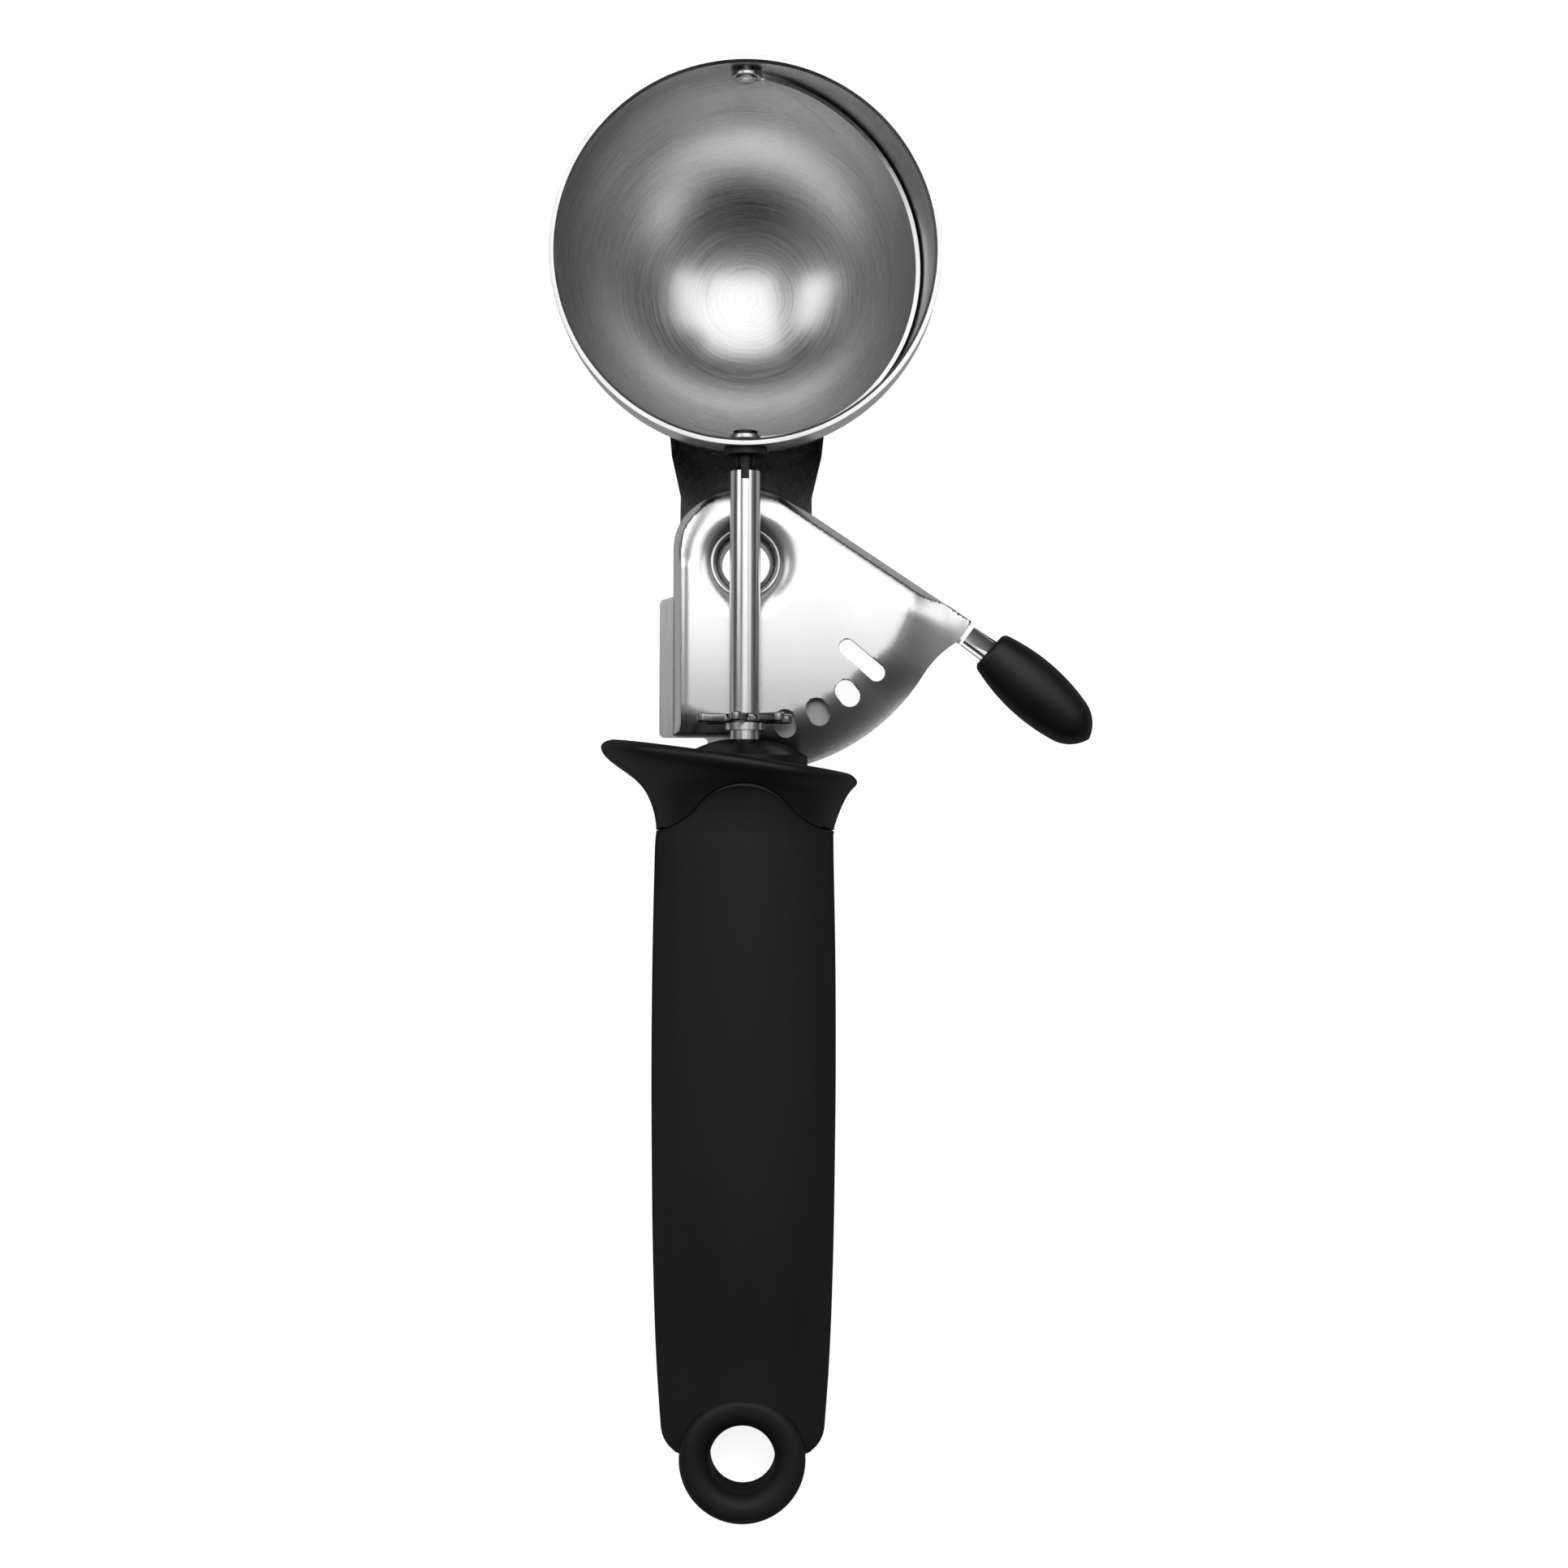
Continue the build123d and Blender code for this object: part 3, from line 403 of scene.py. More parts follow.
def makeBowl():
    bm = bmesh.new()
    ends = []
    for radius in (bowlShape["radius"], bowlShape["radius"] - bowlShape["wall"]):
        equator = bm.verts.new((radius, 0, 0))
        rim = bm.verts.new((radius, 0, bowlShape["rim"]))
        bm.edges.new((rim, equator))
        bmesh.ops.spin(
            bm, geom=[equator], cent=(0, 0, 0), axis=(0, 1, 0), angle=pi / 2, steps=bowlShape["arcSteps"]
        )
        ends.append(rim)
    bm.edges.new(ends)
    bmesh.ops.spin(
        bm, geom=bm.verts[:] + bm.edges[:], cent=(0, 0, 0), axis=(0, 0, 1), angle=2 * pi,
        steps=bowlShape["spinSteps"], use_merge=True,
    )
    bmesh.ops.remove_doubles(bm, verts=bm.verts, dist=closeGap)
    bmesh.ops.recalc_face_normals(bm, faces=bm.faces)
    lip = [e for e in bm.edges if all(abs(v.co.z - bowlShape["rim"]) < fineGap for v in e.verts)]
    circles = [e for e in lip if abs(e.verts[0].co.length - e.verts[1].co.length) < closeGap]
    middle = bowlShape["radius"] - bowlShape["wall"] / 2
    inner = [e for e in circles if e.verts[0].co.xy.length < middle]
    bevelEdges(bm, inner, bowlShape["innerRound"], 1)
    bevelEdges(bm, [e for e in circles if e.is_valid and e not in inner], bowlShape["outerRound"], 2)
    bmesh.ops.translate(bm, vec=(0, bowlLevel, 0), verts=bm.verts)
    return keepFlats(drawnPiece(bm, "bowlShell", "bowl"))


# Blade: a strip of a ball between two planes through the shaft's line, with an eye at each end
bladeShape = {"outer": 29.0, "sheet": 0.7, "start": 17.0, "width": 19.0, "eye": 2.4, "frontHole": 1.05,
              "rearHole": 1.52, "alongSteps": 96, "acrossSteps": 10, "eyeSteps": 48, "edgeRound": 0.06,
              "edgeLean": 0.5, "leanStart": 0.5, "leanEnd": 0.95, "edgeSlack": 0.2, "cutAngle": 60,
              "sharp": 50}


def makeBlade():
    bm = bmesh.new()
    radius = bladeShape["outer"] - bladeShape["sheet"] / 2
    tilt = asin(bladeShape["eye"] / radius)
    first = bm.verts.new((radius * sin(tilt), radius * cos(tilt), 0))
    bmesh.ops.spin(
        bm, geom=[first], cent=(0, 0, 0), axis=(0, 0, -1), angle=pi - 2 * tilt,
        steps=bladeShape["alongSteps"],
    )
    bmesh.ops.rotate(
        bm, cent=(0, 0, 0), matrix=Matrix.Rotation(radians(bladeShape["start"]), 3, "Y"), verts=bm.verts
    )
    bmesh.ops.spin(
        bm, geom=bm.verts[:] + bm.edges[:], cent=(0, 0, 0), axis=(0, 1, 0),
        angle=radians(bladeShape["width"]), steps=bladeShape["acrossSteps"],
    )
    for side, hole in ((1, bladeShape["frontHole"]), (-1, bladeShape["rearHole"])):
        inner = asin(hole / radius)
        turns = (inner, (inner + tilt) / 2, tilt)
        eye = [bm.verts.new((radius * sin(a), side * radius * cos(a), 0)) for a in turns]
        rim = [bm.edges.new(pair) for pair in zip(eye, eye[1:])]
        bmesh.ops.spin(
            bm, geom=eye + rim, cent=(0, 0, 0), axis=(0, 1, 0), angle=2 * pi,
            steps=bladeShape["eyeSteps"], use_merge=True,
        )
    bmesh.ops.remove_doubles(bm, verts=bm.verts, dist=fineGap)
    bmesh.ops.recalc_face_normals(bm, faces=bm.faces)
    for face in bm.faces:
        if face.normal.dot(face.calc_center_median()) < 0:
            face.normal_flip()
    bmesh.ops.solidify(bm, geom=bm.faces[:], thickness=bladeShape["sheet"])
    drift = bladeShape["outer"] - max(v.co.length for v in bm.verts)
    for vert in bm.verts:
        vert.co *= 1 + drift / vert.co.length
    bmesh.ops.recalc_face_normals(bm, faces=bm.faces)
    start, slack = radians(bladeShape["start"]), radians(bladeShape["edgeSlack"])
    upper = [v for v in bm.verts if v.co.length > radius and abs(atan2(-v.co.z, v.co.x) - start) < slack]
    for vert in upper:  # beside the mouth's widest part the cut edge leans towards the bowl's middle
        reach = vert.co.xz.length / bladeShape["outer"]
        share = easeBetween(bladeShape["leanStart"], bladeShape["leanEnd"], reach)
        vert.co.rotate(Matrix.Rotation(radians(-bladeShape["edgeLean"]) * share, 3, "Y"))
    corner = radians(bladeShape["cutAngle"])
    edges = [e for e in bm.edges if len(e.link_faces) == 2 and e.calc_face_angle(0) > corner]
    bevelEdges(bm, edges, bladeShape["edgeRound"], 2)
    bmesh.ops.translate(bm, vec=(0, bowlLevel, 0), verts=bm.verts)
    return keepFlats(drawnPiece(bm, "sweepBladeStrip", "sweep_blade", bladeShape["sharp"]))


# Rivet through the far wall of the bowl and the blade's front eye
rivetShape = {"radius": 1.0, "head": 1.9, "headHeight": 1.0, "headSide": 0.4, "headCrown": (0.75, 0.9),
              "innerHead": 1.71, "innerHeight": 0.6, "innerSide": 0.2, "innerCrown": (0.7, 0.8),
              "inside": 28.1, "spinSteps": 48, "sharp": 50}


def makeRivet():
    pole = bowlShape["radius"]
    inside = rivetShape["inside"]
    head, headHeight = rivetShape["head"], rivetShape["headHeight"]
    innerHead, innerHeight = rivetShape["innerHead"], rivetShape["innerHeight"]
    crownWidth, crownHeight = rivetShape["headCrown"]
    innerWidth, innerDepth = rivetShape["innerCrown"]
    bm = turnPiece([
        (0, inside - innerHeight, 0),
        (innerHead * innerWidth, inside - innerHeight * innerDepth, 0),
        (innerHead, inside - innerHeight * rivetShape["innerSide"], 0),
        (innerHead, inside, 0),
        (rivetShape["radius"], inside, 0),
        (rivetShape["radius"], pole, 0),
        (head, pole, 0),
        (head, pole + headHeight * rivetShape["headSide"], 0),
        (head * crownWidth, pole + headHeight * crownHeight, 0),
        (0, pole + headHeight, 0),
    ], (0, 1, 0), rivetShape["spinSteps"])
    bmesh.ops.translate(bm, vec=(0, bowlLevel, 0), verts=bm.verts)
    return drawnPiece(bm, "bladeRivet", "blade_pivot_rivet", rivetShape["sharp"])


# Shaft: a round bar whose upper end is cut by a slot
shaftShape = {"radius": 2.38, "bottom": 72.0, "top": 152.6, "slotWidth": 1.26, "slotDepth": 1.8,
              "chamfer": 0.45, "longestArcEdge": 1.0, "segments": 96}


def makeShaft():
    bm = bmesh.new()
    upright = Matrix.Rotation(-pi / 2, 4, "X")
    slotFoot = shaftShape["top"] - shaftShape["slotDepth"]
    bmesh.ops.create_cone(
        bm, cap_ends=True, segments=shaftShape["segments"], radius1=shaftShape["radius"],
        radius2=shaftShape["radius"], depth=slotFoot - shaftShape["bottom"],
        matrix=Matrix.Translation((0, (slotFoot + shaftShape["bottom"]) / 2, 0)) @ upright,
    )
    for side in (1, -1):
        disc = bmesh.ops.create_circle(
            bm, cap_ends=True, segments=shaftShape["segments"], radius=shaftShape["radius"],
            matrix=Matrix.Translation((0, slotFoot, 0)) @ upright,
        )
        faces = {f for v in disc["verts"] for f in v.link_faces}
        edges = {e for v in disc["verts"] for e in v.link_edges}
        cut = bmesh.ops.bisect_plane(
            bm, geom=disc["verts"] + list(edges) + list(faces), clear_inner=True,
            plane_co=(side * shaftShape["slotWidth"] / 2, 0, 0), plane_no=(side, 0, 0),
        )
        flat = [g for g in cut["geom"] if isinstance(g, bmesh.types.BMFace) and g.is_valid]
        raised = bmesh.ops.extrude_face_region(bm, geom=flat)["geom"]
        tops = [g for g in raised if isinstance(g, bmesh.types.BMVert)]
        bmesh.ops.translate(bm, vec=(0, shaftShape["slotDepth"], 0), verts=tops)
        rim = shaftShape["radius"] - closeGap
        outer = []
        for edge in [g for g in raised if isinstance(g, bmesh.types.BMEdge)]:
            near, far = (v.co for v in edge.verts)
            length = abs(near.x - far.x) + abs(near.z - far.z)
            onRim = all((v.co.x**2 + v.co.z**2) ** 0.5 > rim for v in edge.verts)
            if onRim and length < shaftShape["longestArcEdge"]:
                outer.append(edge)
        bevelEdges(bm, outer, shaftShape["chamfer"], 1)
    bmesh.ops.recalc_face_normals(bm, faces=bm.faces)
    return keepFlats(drawnPiece(bm, "slottedShaft", "drive_shaft"))


# Eyelet that the lever turns on: its front is drawn into the bore like a funnel, its back is rolled over
eyeletShape = {"bore": 3.8, "barrel": 4.3, "flange": 5.4, "lip": 0.5, "front": -4.9, "back": -9.1,
               "level": 138.5, "funnelDepth": 1.9, "funnelSteps": 18, "edge": 0.65, "roll": 0.22,
               "rollSteps": 4, "bead": 0.1, "spinSteps": 96, "sharp": 40}


def makeEyelet():
    front, back, lip = eyeletShape["front"], eyeletShape["back"], eyeletShape["lip"]
    bore, barrel, flange = eyeletShape["bore"], eyeletShape["barrel"], eyeletShape["flange"]
    profile = [(bore, 0, back - lip), (flange, 0, back - lip), (flange, 0, back), (barrel, 0, back),
               (barrel, 0, front), (flange, 0, front)]
    for step in range(eyeletShape["funnelSteps"] + 1):  # quarter of an oval from the flange to the bore
        turn = step / eyeletShape["funnelSteps"] * pi / 2
        reach = flange - (flange - bore) * sin(turn) + eyeletShape["bead"] * sin(2 * turn) * sin(6 * turn)
        depth = eyeletShape["funnelDepth"] * (1 - cos(turn))
        profile.append((reach, 0, front + eyeletShape["edge"] - depth))
    bm = turnPiece(profile, (0, 0, 1), eyeletShape["spinSteps"])
    lips = []
    for edge in bm.edges:
        ends = [v.co for v in edge.verts]
        level = abs(ends[0].z - ends[1].z) < fineGap
        rear = all(c.z < back - lip / 2 for c in ends)
        if level and rear and abs(ends[0].xy.length - ends[1].xy.length) < closeGap:
            lips.append(edge)
    bevelEdges(bm, lips, eyeletShape["roll"], eyeletShape["rollSteps"])
    bmesh.ops.translate(bm, vec=(0, eyeletShape["level"], 0), verts=bm.verts)
    return drawnPiece(bm, "drawnEyelet", "pivot_eyelet", eyeletShape["sharp"])


# Lever fan: the CAD sheet, cut into a fine grid and drawn up in the middle, so that its edges roll softly,
# its rim dishes and its pivot sits in a funnel
fanShape = {
    "level": 138.5, "topRadius": 12.4, "left": 11.5, "fall": 33.7, "front": -4.9, "back": -7.4,
    "foot": -6.7, "mergeAngle": 0.4, "cutAngle": 55, "cutRound": 0.2, "cutReach": 32.5, "gridStep": 0.6,
    "slack": 0.12, "rise": 1.5, "leftRoll": 2.8, "crownRoll": 5.6, "crownEnd": 8, "slopeRoll": 4.8,
    "funnelReach": 9.0, "funnelBend": 0.075, "dimpleFoot": 5.7, "dimpleReach": 7.0, "dimpleDrop": 0.6,
    "dishStart": 27.4, "dishEnd": 33.2, "dishDrop": 1.3, "fallStart": 26.0, "fallEnd": 34.4,
    "tipStart": 26.0, "tipEnd": 32.0, "tipStretch": 4.0, "lowStart": radians(30), "lowEnd": radians(45),
    "lowSooner": 1.5, "bowStart": -8.0, "bow": 0.0009, "sharp": 34,
}


def edgeRoll(x, y):
    # Height of the rolled edges as a share of the rise
    fall = radians(fanShape["fall"])
    left = (x + fanShape["left"]) / fanShape["leftRoll"]
    if y > 0 and x < y * sin(fall) / cos(fall):  # on the round top
        wider = fanShape["crownRoll"] - fanShape["slopeRoll"]
        reach = fanShape["slopeRoll"] + wider * easeBetween(fanShape["crownEnd"], 0, x)
        top = (fanShape["topRadius"] - sqrt(x * x + y * y)) / reach
    else:
        top = (fanShape["topRadius"] - x * sin(fall) - y * cos(fall)) / fanShape["slopeRoll"]
    near = min(max(min(left, top), 0), 1)
    return 1 - (1 - near) ** 2


def sheetFront(reach):
    # Front of the CAD sheet, which drops into the pivot's dimple and towards its rim
    dimple = (fanShape["dimpleReach"] - reach) / (fanShape["dimpleReach"] - fanShape["dimpleFoot"])
    width = fanShape["dishEnd"] - fanShape["dishStart"]
    bend = (width**2 + fanShape["dishDrop"] ** 2) / (2 * fanShape["dishDrop"])
    inside = min(max(reach - fanShape["dishStart"], 0), width)
    dish = bend - sqrt(bend**2 - inside**2)
    return fanShape["front"] - fanShape["dimpleDrop"] * min(max(dimple, 0), 1) - dish


def drawnFront(x, y):
    # Front of the drawn sheet: rolled edges, a funnel round the pivot, a bow, and a soft fall to the rim
    # that comes later at the tip and sooner in the lower part, which passes the domed plug
    reach = sqrt(x * x + y * y)
    rise = fanShape["rise"] * edgeRoll(x, y)
    sooner = fanShape["lowSooner"] * easeBetween(fanShape["lowStart"], fanShape["lowEnd"], atan2(-y, x))
    stretch = fanShape["tipStretch"] * easeBetween(fanShape["tipStart"], fanShape["tipEnd"], x)
    start = fanShape["fallStart"] - sooner
    end = fanShape["fallEnd"] - sooner + stretch
    height = fanShape["front"] + rise - (rise + fanShape["dishDrop"]) * easeBetween(start, end, reach)
    height -= fanShape["funnelBend"] * max(fanShape["funnelReach"] - reach, 0) ** 2
    return height - fanShape["bow"] * max(fanShape["bowStart"] - y, 0) ** 2


def cutToGrid(bm, step):
    for axis in (0, 1):
        normal = Vector((1 - axis, axis, 0))
        low = min(v.co[axis] for v in bm.verts)
        high = max(v.co[axis] for v in bm.verts)
        count = int((high - low) / step)
        for index in range(1, count):
            bmesh.ops.bisect_plane(
                bm, geom=bm.verts[:] + bm.edges[:] + bm.faces[:], dist=fineGap,
                plane_co=normal * (low + index * (high - low) / count), plane_no=normal,
            )


def makeFan():
    bm = bmesh.new()
    bm.from_mesh(frame["nodes"]["lever_plate"].data)
    bmesh.ops.transform(bm, matrix=scoopToWorld.inverted(), verts=bm.verts)
    bmesh.ops.translate(bm, vec=(0, -fanShape["level"], 0), verts=bm.verts)
    bmesh.ops.remove_doubles(bm, verts=bm.verts, dist=closeGap)
    flatness = radians(fanShape["mergeAngle"])
    bmesh.ops.dissolve_limit(bm, angle_limit=flatness, verts=bm.verts, edges=bm.edges)
    corner = radians(fanShape["cutAngle"])
    cuts = [e for e in bm.edges if len(e.link_faces) == 2 and e.is_convex and e.calc_face_angle(0) > corner
            and min(v.co.z for v in e.verts) > fanShape["foot"]
            and max(v.co.xy.length for v in e.verts) < fanShape["cutReach"]]
    bevelEdges(bm, cuts, fanShape["cutRound"], 2)
    cutToGrid(bm, fanShape["gridStep"])
    bmesh.ops.triangulate(bm, faces=[f for f in bm.faces if len(f.verts) > 4])
    for vert in bm.verts:
        front = sheetFront(vert.co.xy.length)
        drawn = drawnFront(vert.co.x, vert.co.y)
        if abs(vert.co.z - front) < fanShape["slack"]:
            vert.co.z = drawn
        else:
            share = min(max((vert.co.z - fanShape["back"]) / (front - fanShape["back"]), 0), 1)
            vert.co.z += share * (drawn - front)
    bmesh.ops.translate(bm, vec=(0, fanShape["level"], 0), verts=bm.verts)
    return drawnPiece(bm, "leverFan", "lever_plate", fanShape["sharp"])


# Grip: a soft sleeve of oval rings from the hanging ring up to the curved parting line
gripShape = {
    "foot": -0.4, "top": 93.0,
    "halfWidths": (12.3, 13.4, 13.95, 14.2, 14.3, 14.2, 13.9),
    "halfDepths": (4.4, 5.5, 8.2, 9.9, 10.7, 11.0, 11.0),
    "guard": (((-13.7, 96.3), (14.0, 96.6), 11.0), ((-14.2, 99.4), (14.9, 99.3), 11.3),
              ((-16.1, 103.1), (16.1, 101.7), 12.2), ((-19.9, 106.1), (17.2, 103.0), 13.6)),
    "buttRound": 4.6, "partingSide": 96.2, "partingPeak": 103.2, "partingReach": 14.3,
    "seamDrop": 0.35, "seamRoll": 0.5, "seamSteps": (0.0, 0.3, 1.0), "ringHidden": 8.0,
    "footSpan": (0, 1), "seamSpan": (5, 10), "halvings": 40, "columns": 160, "rings": 120, "sharp": 60,
}


def smoothThrough(values, place):
    # Smooth curve through evenly numbered values
    index = min(max(int(place), 0), len(values) - 2)
    share = place - index
    before = values[index - 1] if index > 0 else 2 * values[0] - values[1]
    after = values[index + 2] if index + 2 < len(values) else 2 * values[-1] - values[-2]
    start, end = values[index], values[index + 1]
    bend = 2 * before - 5 * start + 4 * end - after
    twist = 3 * (start - end) + after - before
    return start + 0.5 * share * (end - before + share * (bend + share * twist))


gripStations = []
gripLength = gripShape["top"] - gripShape["foot"]
for step, (halfWidth, halfDepth) in enumerate(zip(gripShape["halfWidths"], gripShape["halfDepths"])):
    level = gripShape["foot"] + step * gripLength / (len(gripShape["halfWidths"]) - 1)
    gripStations.append((-halfWidth, level, halfWidth, level, halfDepth))
for left, right, halfDepth in gripShape["guard"]:
    gripStations.append((*left, *right, halfDepth))


def gripPoint(place, angle):
    leftX, leftY, rightX, rightY, depth = (smoothThrough(column, place) for column in zip(*gripStations))
    across = (1 + cos(angle)) / 2
    level = leftY + (rightY - leftY) * across
    middle = (leftX + rightX) / 2
    width = (rightX - leftX) / 2
    rise = level - gripShape["foot"]
    if rise < gripShape["buttRound"]:  # rounded corners beside the hanging ring
        room = gripShape["buttRound"] - max(rise, 0)
        width += sqrt(gripShape["buttRound"] ** 2 - room**2) - gripShape["buttRound"]
    return Vector((middle + width * cos(angle), level, depth * sin(angle)))


def partingLevel(x):
    half = gripShape["partingReach"] / 2
    rise = (gripShape["partingPeak"] - gripShape["partingSide"]) / 2
    bend = (half**2 + rise**2) / (2 * rise)
    off = abs(x)
    if off < half:
        return gripShape["partingPeak"] - bend + sqrt(bend**2 - off**2)
    low = max(2 * half - off, 0)
    return gripShape["partingSide"] + bend - sqrt(bend**2 - low**2)


def findPlace(low, high, below):
    # Halves the span until it holds only the place where below stops being true
    for _ in range(gripShape["halvings"]):
        middle = (low + high) / 2
        if below(middle):
            low = middle
        else:
            high = middle
    return (low + high) / 2


def makeGrip():
    bm = bmesh.new()
    count = gripShape["columns"]
    loop = bmesh.ops.create_circle(bm, segments=count, radius=1.0)["verts"]
    angles = [2 * pi * index / count for index in range(count)]
    spans = []
    for angle in angles:
        low = findPlace(
            *gripShape["footSpan"], lambda s: gripPoint(s, angle).xy.length < gripShape["ringHidden"]
        )
        high = findPlace(
            *gripShape["seamSpan"], lambda s: gripPoint(s, angle).y < partingLevel(gripPoint(s, angle).x)
        )
        spans.append((low, high))
    for vert, angle, (low, _) in zip(loop, angles, spans):
        vert.co = gripPoint(low, angle)
    edges = [bm.edges.get((loop[i], loop[(i + 1) % count])) for i in range(count)]
    levels = [(step / gripShape["rings"], 0.0) for step in range(1, gripShape["rings"])]
    levels += [(1.0, roll) for roll in gripShape["seamSteps"]]
    for share, roll in levels:
        raised = bmesh.ops.extrude_edge_only(bm, edges=edges)["geom"]
        verts = [g for g in raised if isinstance(g, bmesh.types.BMVert)]
        edges = [g for g in raised if isinstance(g, bmesh.types.BMEdge) and g.is_boundary]
        order = [next(v for v in verts if v in {e.other_vert(old) for e in old.link_edges}) for old in loop]
        for vert, angle, (low, high) in zip(order, angles, spans):
            if share < 1:
                vert.co = gripPoint(low + share * (high - low), angle)
            else:
                point = gripPoint(high, angle)
                inward = Vector((-point.x, 0, -point.z)).normalized()
                drop = (1 - roll) * gripShape["seamRoll"]
                vert.co = point + inward * roll * gripShape["seamDrop"] - Vector((0, drop, 0))
        loop = order
    bmesh.ops.recalc_face_normals(bm, faces=bm.faces)
    middles = [(f.normal, f.calc_center_median()) for f in bm.faces]
    if sum(normal.dot(Vector((middle.x, 0, middle.z))) for normal, middle in middles) < 0:
        bmesh.ops.reverse_faces(bm, faces=bm.faces)
    return drawnPiece(bm, "gripSleeveSkin", "grip_sleeve", gripShape["sharp"])


# Star: the CAD arms, drawn out a little and rounded over
starShape = {"reach": 1.13, "round": 0.4, "roundSteps": 3, "mergeAngle": 1, "cutAngle": 50, "sharp": 45}


def makeStar():
    bm = bmesh.new()
    bm.from_mesh(frame["nodes"]["star_pinion"].data)
    bmesh.ops.transform(bm, matrix=scoopToWorld.inverted(), verts=bm.verts)
    bmesh.ops.remove_doubles(bm, verts=bm.verts, dist=closeGap)
    flatness = radians(starShape["mergeAngle"])
    bmesh.ops.dissolve_limit(bm, angle_limit=flatness, verts=bm.verts, edges=bm.edges)
    outside = shaftShape["radius"] + starShape["round"]
    corner = radians(starShape["cutAngle"])
    edges = [e for e in bm.edges if len(e.link_faces) == 2 and e.calc_face_angle(0) > corner
             and min(v.co.xz.length for v in e.verts) > outside]
    bevelEdges(bm, edges, starShape["round"], starShape["roundSteps"])
    for vert in bm.verts:
        if vert.co.xz.length > outside:
            stretch = 1 + (starShape["reach"] - 1) * easeBetween(outside, 2 * outside, vert.co.xz.length)
            vert.co.x *= stretch
            vert.co.z *= stretch
    return drawnPiece(bm, "starPinionArms", "star_pinion", starShape["sharp"])


# The stub between the rod and the bowl is painted near black as painted shade, so that it does not show
# against the dark neck
shadeBlackSteel = steelFinish("blackenedStubSteel", {
    "stretch": (3.0, 3.0, 3.0), "smudgeScale": 0.3, "dark": (0.02, 0.02, 0.02), "light": (0.04, 0.04, 0.04),
    "markRoughness": (0.3, 0.4), "smudgeRoughness": (0.0, 0.06), "bump": 0.2, "depth": 0.00001})

for node in frame["nodes"].values():  # every node gets its slot's finish, shown or not
    node.data.materials.clear()
    # the blade stub takes the near-black painted shade instead of its slot's finish
    finish = shadeBlackSteel if node.name == "blade_stub" else finishes[nodeSlots[node.name]]
    node.data.materials.append(finish)

makeBowl()
makeBlade()
makeRivet()
makeShaft()
makeEyelet()
makeFan()
makeGrip()
makeStar()
for node, name in (
    ("neck_frame", "neckFrameSheet"), ("lever_tang", "leverTongue"),
    ("thumb_paddle", "thumbPaddleSkin"), ("pinion_collar", "pinionCollarRing"),
    ("handle_core", "hangingRingCore"), ("guard_collar", "guardFlare"), ("bearing_boss", "domedPlug"),
    ("return_spring", "springCoil"),
):
    smoothedNode(node, name)

# Floor: pale to the eye, dimmer in a mirror, dark in a mirror of a mirror, and lighting nothing
floorSetting = {"size": 6.0, "cells": 8, "tone": (0.9, 0.9, 0.9), "roughness": 0.9, "glow": 0.85,
                "mirrorDim": 0.72, "mirrorDepth": 1.5}


def makeFloor():
    bm = bmesh.new()
    cells = floorSetting["cells"]
    bmesh.ops.create_grid(bm, x_segments=cells, y_segments=cells, size=floorSetting["size"] / 2)
    bmesh.ops.translate(bm, vec=(0, 0, cadBox[0][2]), verts=bm.verts)
    mesh = bpy.data.meshes.new("paleFloor")
    bm.to_mesh(mesh)
    bm.free()
    floor = bpy.data.objects.new("paleFloor", mesh)
    bpy.context.scene.collection.objects.link(floor)
    material, tree, shader = newMaterial("palePaper")
    shader.inputs["Base Color"].default_value = (*floorSetting["tone"], 1)
    shader.inputs["Roughness"].default_value = floorSetting["roughness"]
    shader.inputs["Emission Color"].default_value = (1, 1, 1, 1)
    shader.inputs["Emission Strength"].default_value = floorSetting["glow"]
    black = addNode(tree, "ShaderNodeEmission", {"Color": (0, 0, 0, 1)})
    path = addNode(tree, "ShaderNodeLightPath")
    deeper = addNode(tree, "ShaderNodeMath", operation="GREATER_THAN")
    deeper.inputs[1].default_value = floorSetting["mirrorDepth"]
    dim = addNode(tree, "ShaderNodeMath", operation="MULTIPLY")
    dim.inputs[1].default_value = floorSetting["mirrorDim"]
    unlit = addNode(tree, "ShaderNodeMath", operation="MAXIMUM")
    unseen = addNode(tree, "ShaderNodeMath", operation="MAXIMUM")
    choose = addNode(tree, "ShaderNodeMixShader")
    tree.links.new(path.outputs["Glossy Depth"], deeper.inputs[0])
    tree.links.new(deeper.outputs[0], unseen.inputs[0])
    tree.links.new(path.outputs["Is Glossy Ray"], dim.inputs[0])
    tree.links.new(path.outputs["Is Diffuse Ray"], unlit.inputs[0])
    tree.links.new(dim.outputs[0], unlit.inputs[1])
    tree.links.new(unlit.outputs[0], unseen.inputs[1])
    tree.links.new(unseen.outputs[0], choose.inputs["Fac"])
    tree.links.new(shader.outputs["BSDF"], choose.inputs[1])
    tree.links.new(black.outputs["Emission"], choose.inputs[2])
    tree.links.new(choose.outputs["Shader"], tree.nodes["Material Output"].inputs["Surface"])
    material.cycles.emission_sampling = "NONE"
    mesh.materials.append(material)


# Studio: a dim room, lighter overhead and high at the sides, dark at the horizon, with three softboxes
roomSetting = {"overhead": 0.3, "sides": 0.36, "toward": (0, 0.26, 0.966), "gather": 3.0}


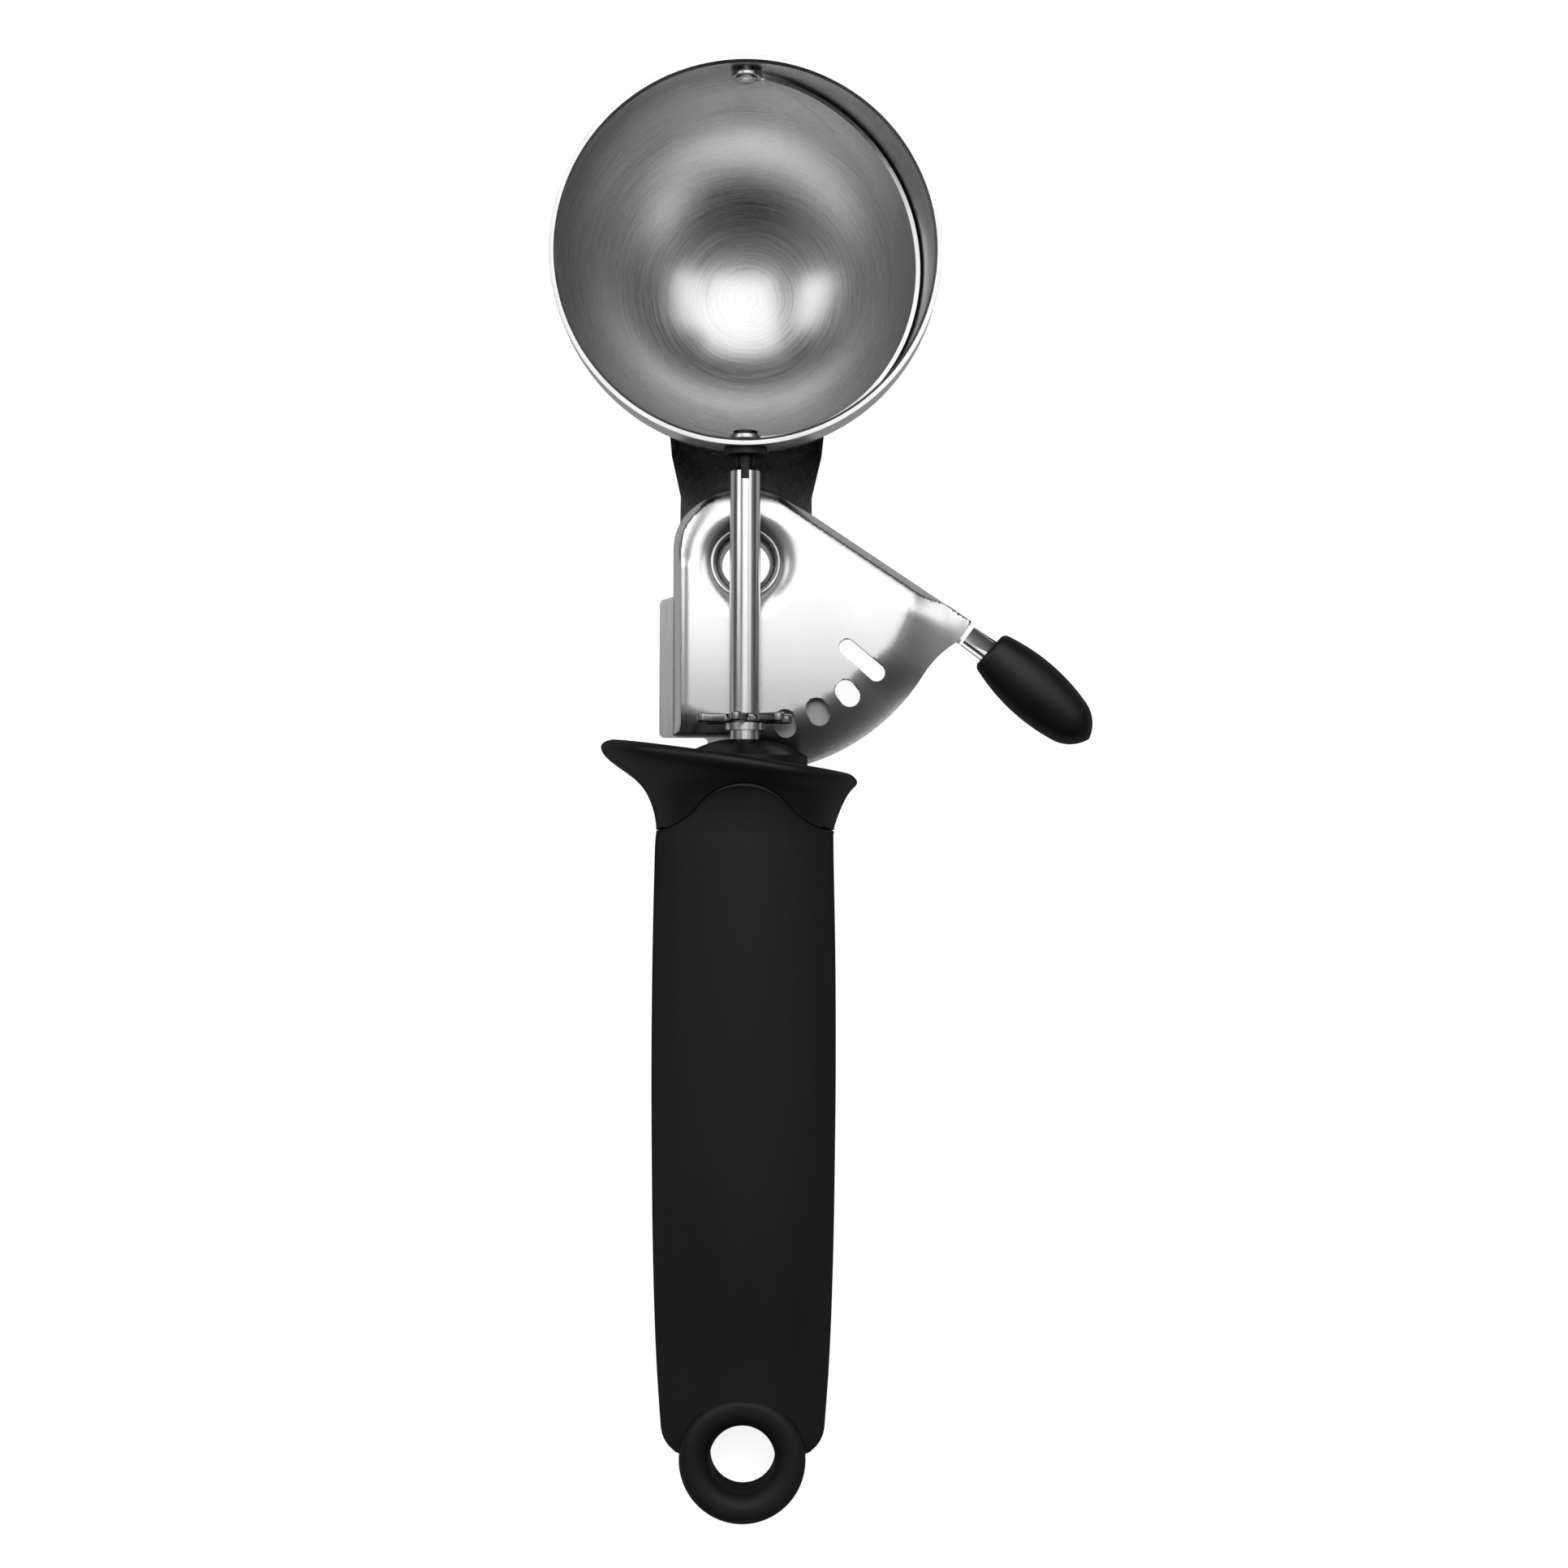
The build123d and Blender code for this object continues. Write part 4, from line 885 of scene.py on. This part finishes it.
def makeRoom():
    world = bpy.data.worlds.new("studioRoom")
    bpy.context.scene.world = world
    world.use_nodes = True
    tree = world.node_tree
    place = addNode(tree, "ShaderNodeTexCoord")
    facing = addNode(tree, "ShaderNodeVectorMath", operation="DOT_PRODUCT")
    facing.inputs[1].default_value = roomSetting["toward"]
    upper = addNode(tree, "ShaderNodeMath", operation="MAXIMUM")
    upper.inputs[1].default_value = 0.0
    gather = addNode(tree, "ShaderNodeMath", operation="POWER")
    gather.inputs[1].default_value = roomSetting["gather"]
    split = addNode(tree, "ShaderNodeSeparateXYZ")
    across = addNode(tree, "ShaderNodeMath", operation="MULTIPLY")
    above = addNode(tree, "ShaderNodeMath", operation="MAXIMUM")
    above.inputs[1].default_value = 0.0
    high = addNode(tree, "ShaderNodeMath", operation="MULTIPLY")
    both = addNode(tree, "ShaderNodeMath", operation="ADD")
    tree.links.new(place.outputs["Generated"], facing.inputs[0])
    tree.links.new(place.outputs["Generated"], split.inputs["Vector"])
    tree.links.new(facing.outputs["Value"], upper.inputs[0])
    tree.links.new(upper.outputs[0], gather.inputs[0])
    tree.links.new(split.outputs["X"], across.inputs[0])
    tree.links.new(split.outputs["X"], across.inputs[1])
    tree.links.new(mapValue(tree, gather.outputs[0], 0, roomSetting["overhead"]), both.inputs[0])
    tree.links.new(split.outputs["Z"], above.inputs[0])
    tree.links.new(across.outputs[0], high.inputs[0])
    tree.links.new(above.outputs[0], high.inputs[1])
    tree.links.new(mapValue(tree, high.outputs[0], 0, roomSetting["sides"]), both.inputs[1])
    tree.links.new(both.outputs[0], tree.nodes["Background"].inputs["Strength"])
    tree.nodes["Background"].inputs["Color"].default_value = (1, 1, 1, 1)


# Glow is the brightness of the box itself, so that its size can change alone
softboxes = {
    "keyBox": {"place": (35, 432, 557), "aim": (0, 150, 0), "width": 0.5, "height": 0.62, "glow": 1.25},
    "leftBox": {"place": (-440, 370, 400), "aim": (0, 150, 0), "width": 0.28, "height": 0.36, "glow": 1.5},
    "rightBox": {"place": (345, 340, 440), "aim": (0, 150, 0), "width": 0.2, "height": 0.36, "glow": 1.1},
}
turnedAxes = Matrix.Rotation(pitch, 3, "X")


def addSoftbox(name, setting):
    light = bpy.data.lights.new(name, "AREA")
    light.shape = "RECTANGLE"
    light.size = setting["width"]
    light.size_y = setting["height"]
    light.energy = setting["glow"] * pi * setting["width"] * setting["height"]
    lamp = bpy.data.objects.new(name, light)
    bpy.context.scene.collection.objects.link(lamp)
    start = worldPoint(*setting["place"])
    toward = worldPoint(*setting["aim"]) - start
    away = -toward.normalized()
    side = (turnedAxes @ Vector((0, 1, 0))).cross(away).normalized()
    axes = Matrix((side, away.cross(side), away)).transposed()
    lamp.matrix_world = Matrix.Translation(start) @ axes.to_4x4()


makeFloor()
makeRoom()
for name, setting in softboxes.items():
    addSoftbox(name, setting)

# Camera: nearly square on to the scoop, a little from the handle's end
cameraSetting = {"centre": (6.156, 103.405, 0.0), "distance": 378.0, "lean": 1.865, "roll": 0.135,
                 "lens": 55.78, "sensor": 36.0, "nearest": 0.01}
camera = bpy.data.cameras.new("photoCamera")
camera.lens = cameraSetting["lens"]
camera.sensor_width = cameraSetting["sensor"]
camera.clip_start = cameraSetting["nearest"]
viewer = bpy.data.objects.new("photoCamera", camera)
bpy.context.scene.collection.objects.link(viewer)
lean = radians(cameraSetting["lean"])
target = Vector(cameraSetting["centre"])
back = Vector((0, -sin(lean), cos(lean)))
eyePoint = target + back * cameraSetting["distance"]
right = Vector((1, 0, 0))
up = back.cross(right)
axes = Matrix((right, up, back)).transposed()
viewer.matrix_world = Matrix.Translation(worldPoint(*eyePoint)) @ (
    turnedAxes @ axes @ Matrix.Rotation(radians(cameraSetting["roll"]), 3, "Z")
).to_4x4()
bpy.context.scene.camera = viewer
bpy.context.scene.view_settings.view_transform = "Standard"
print("studio ready")
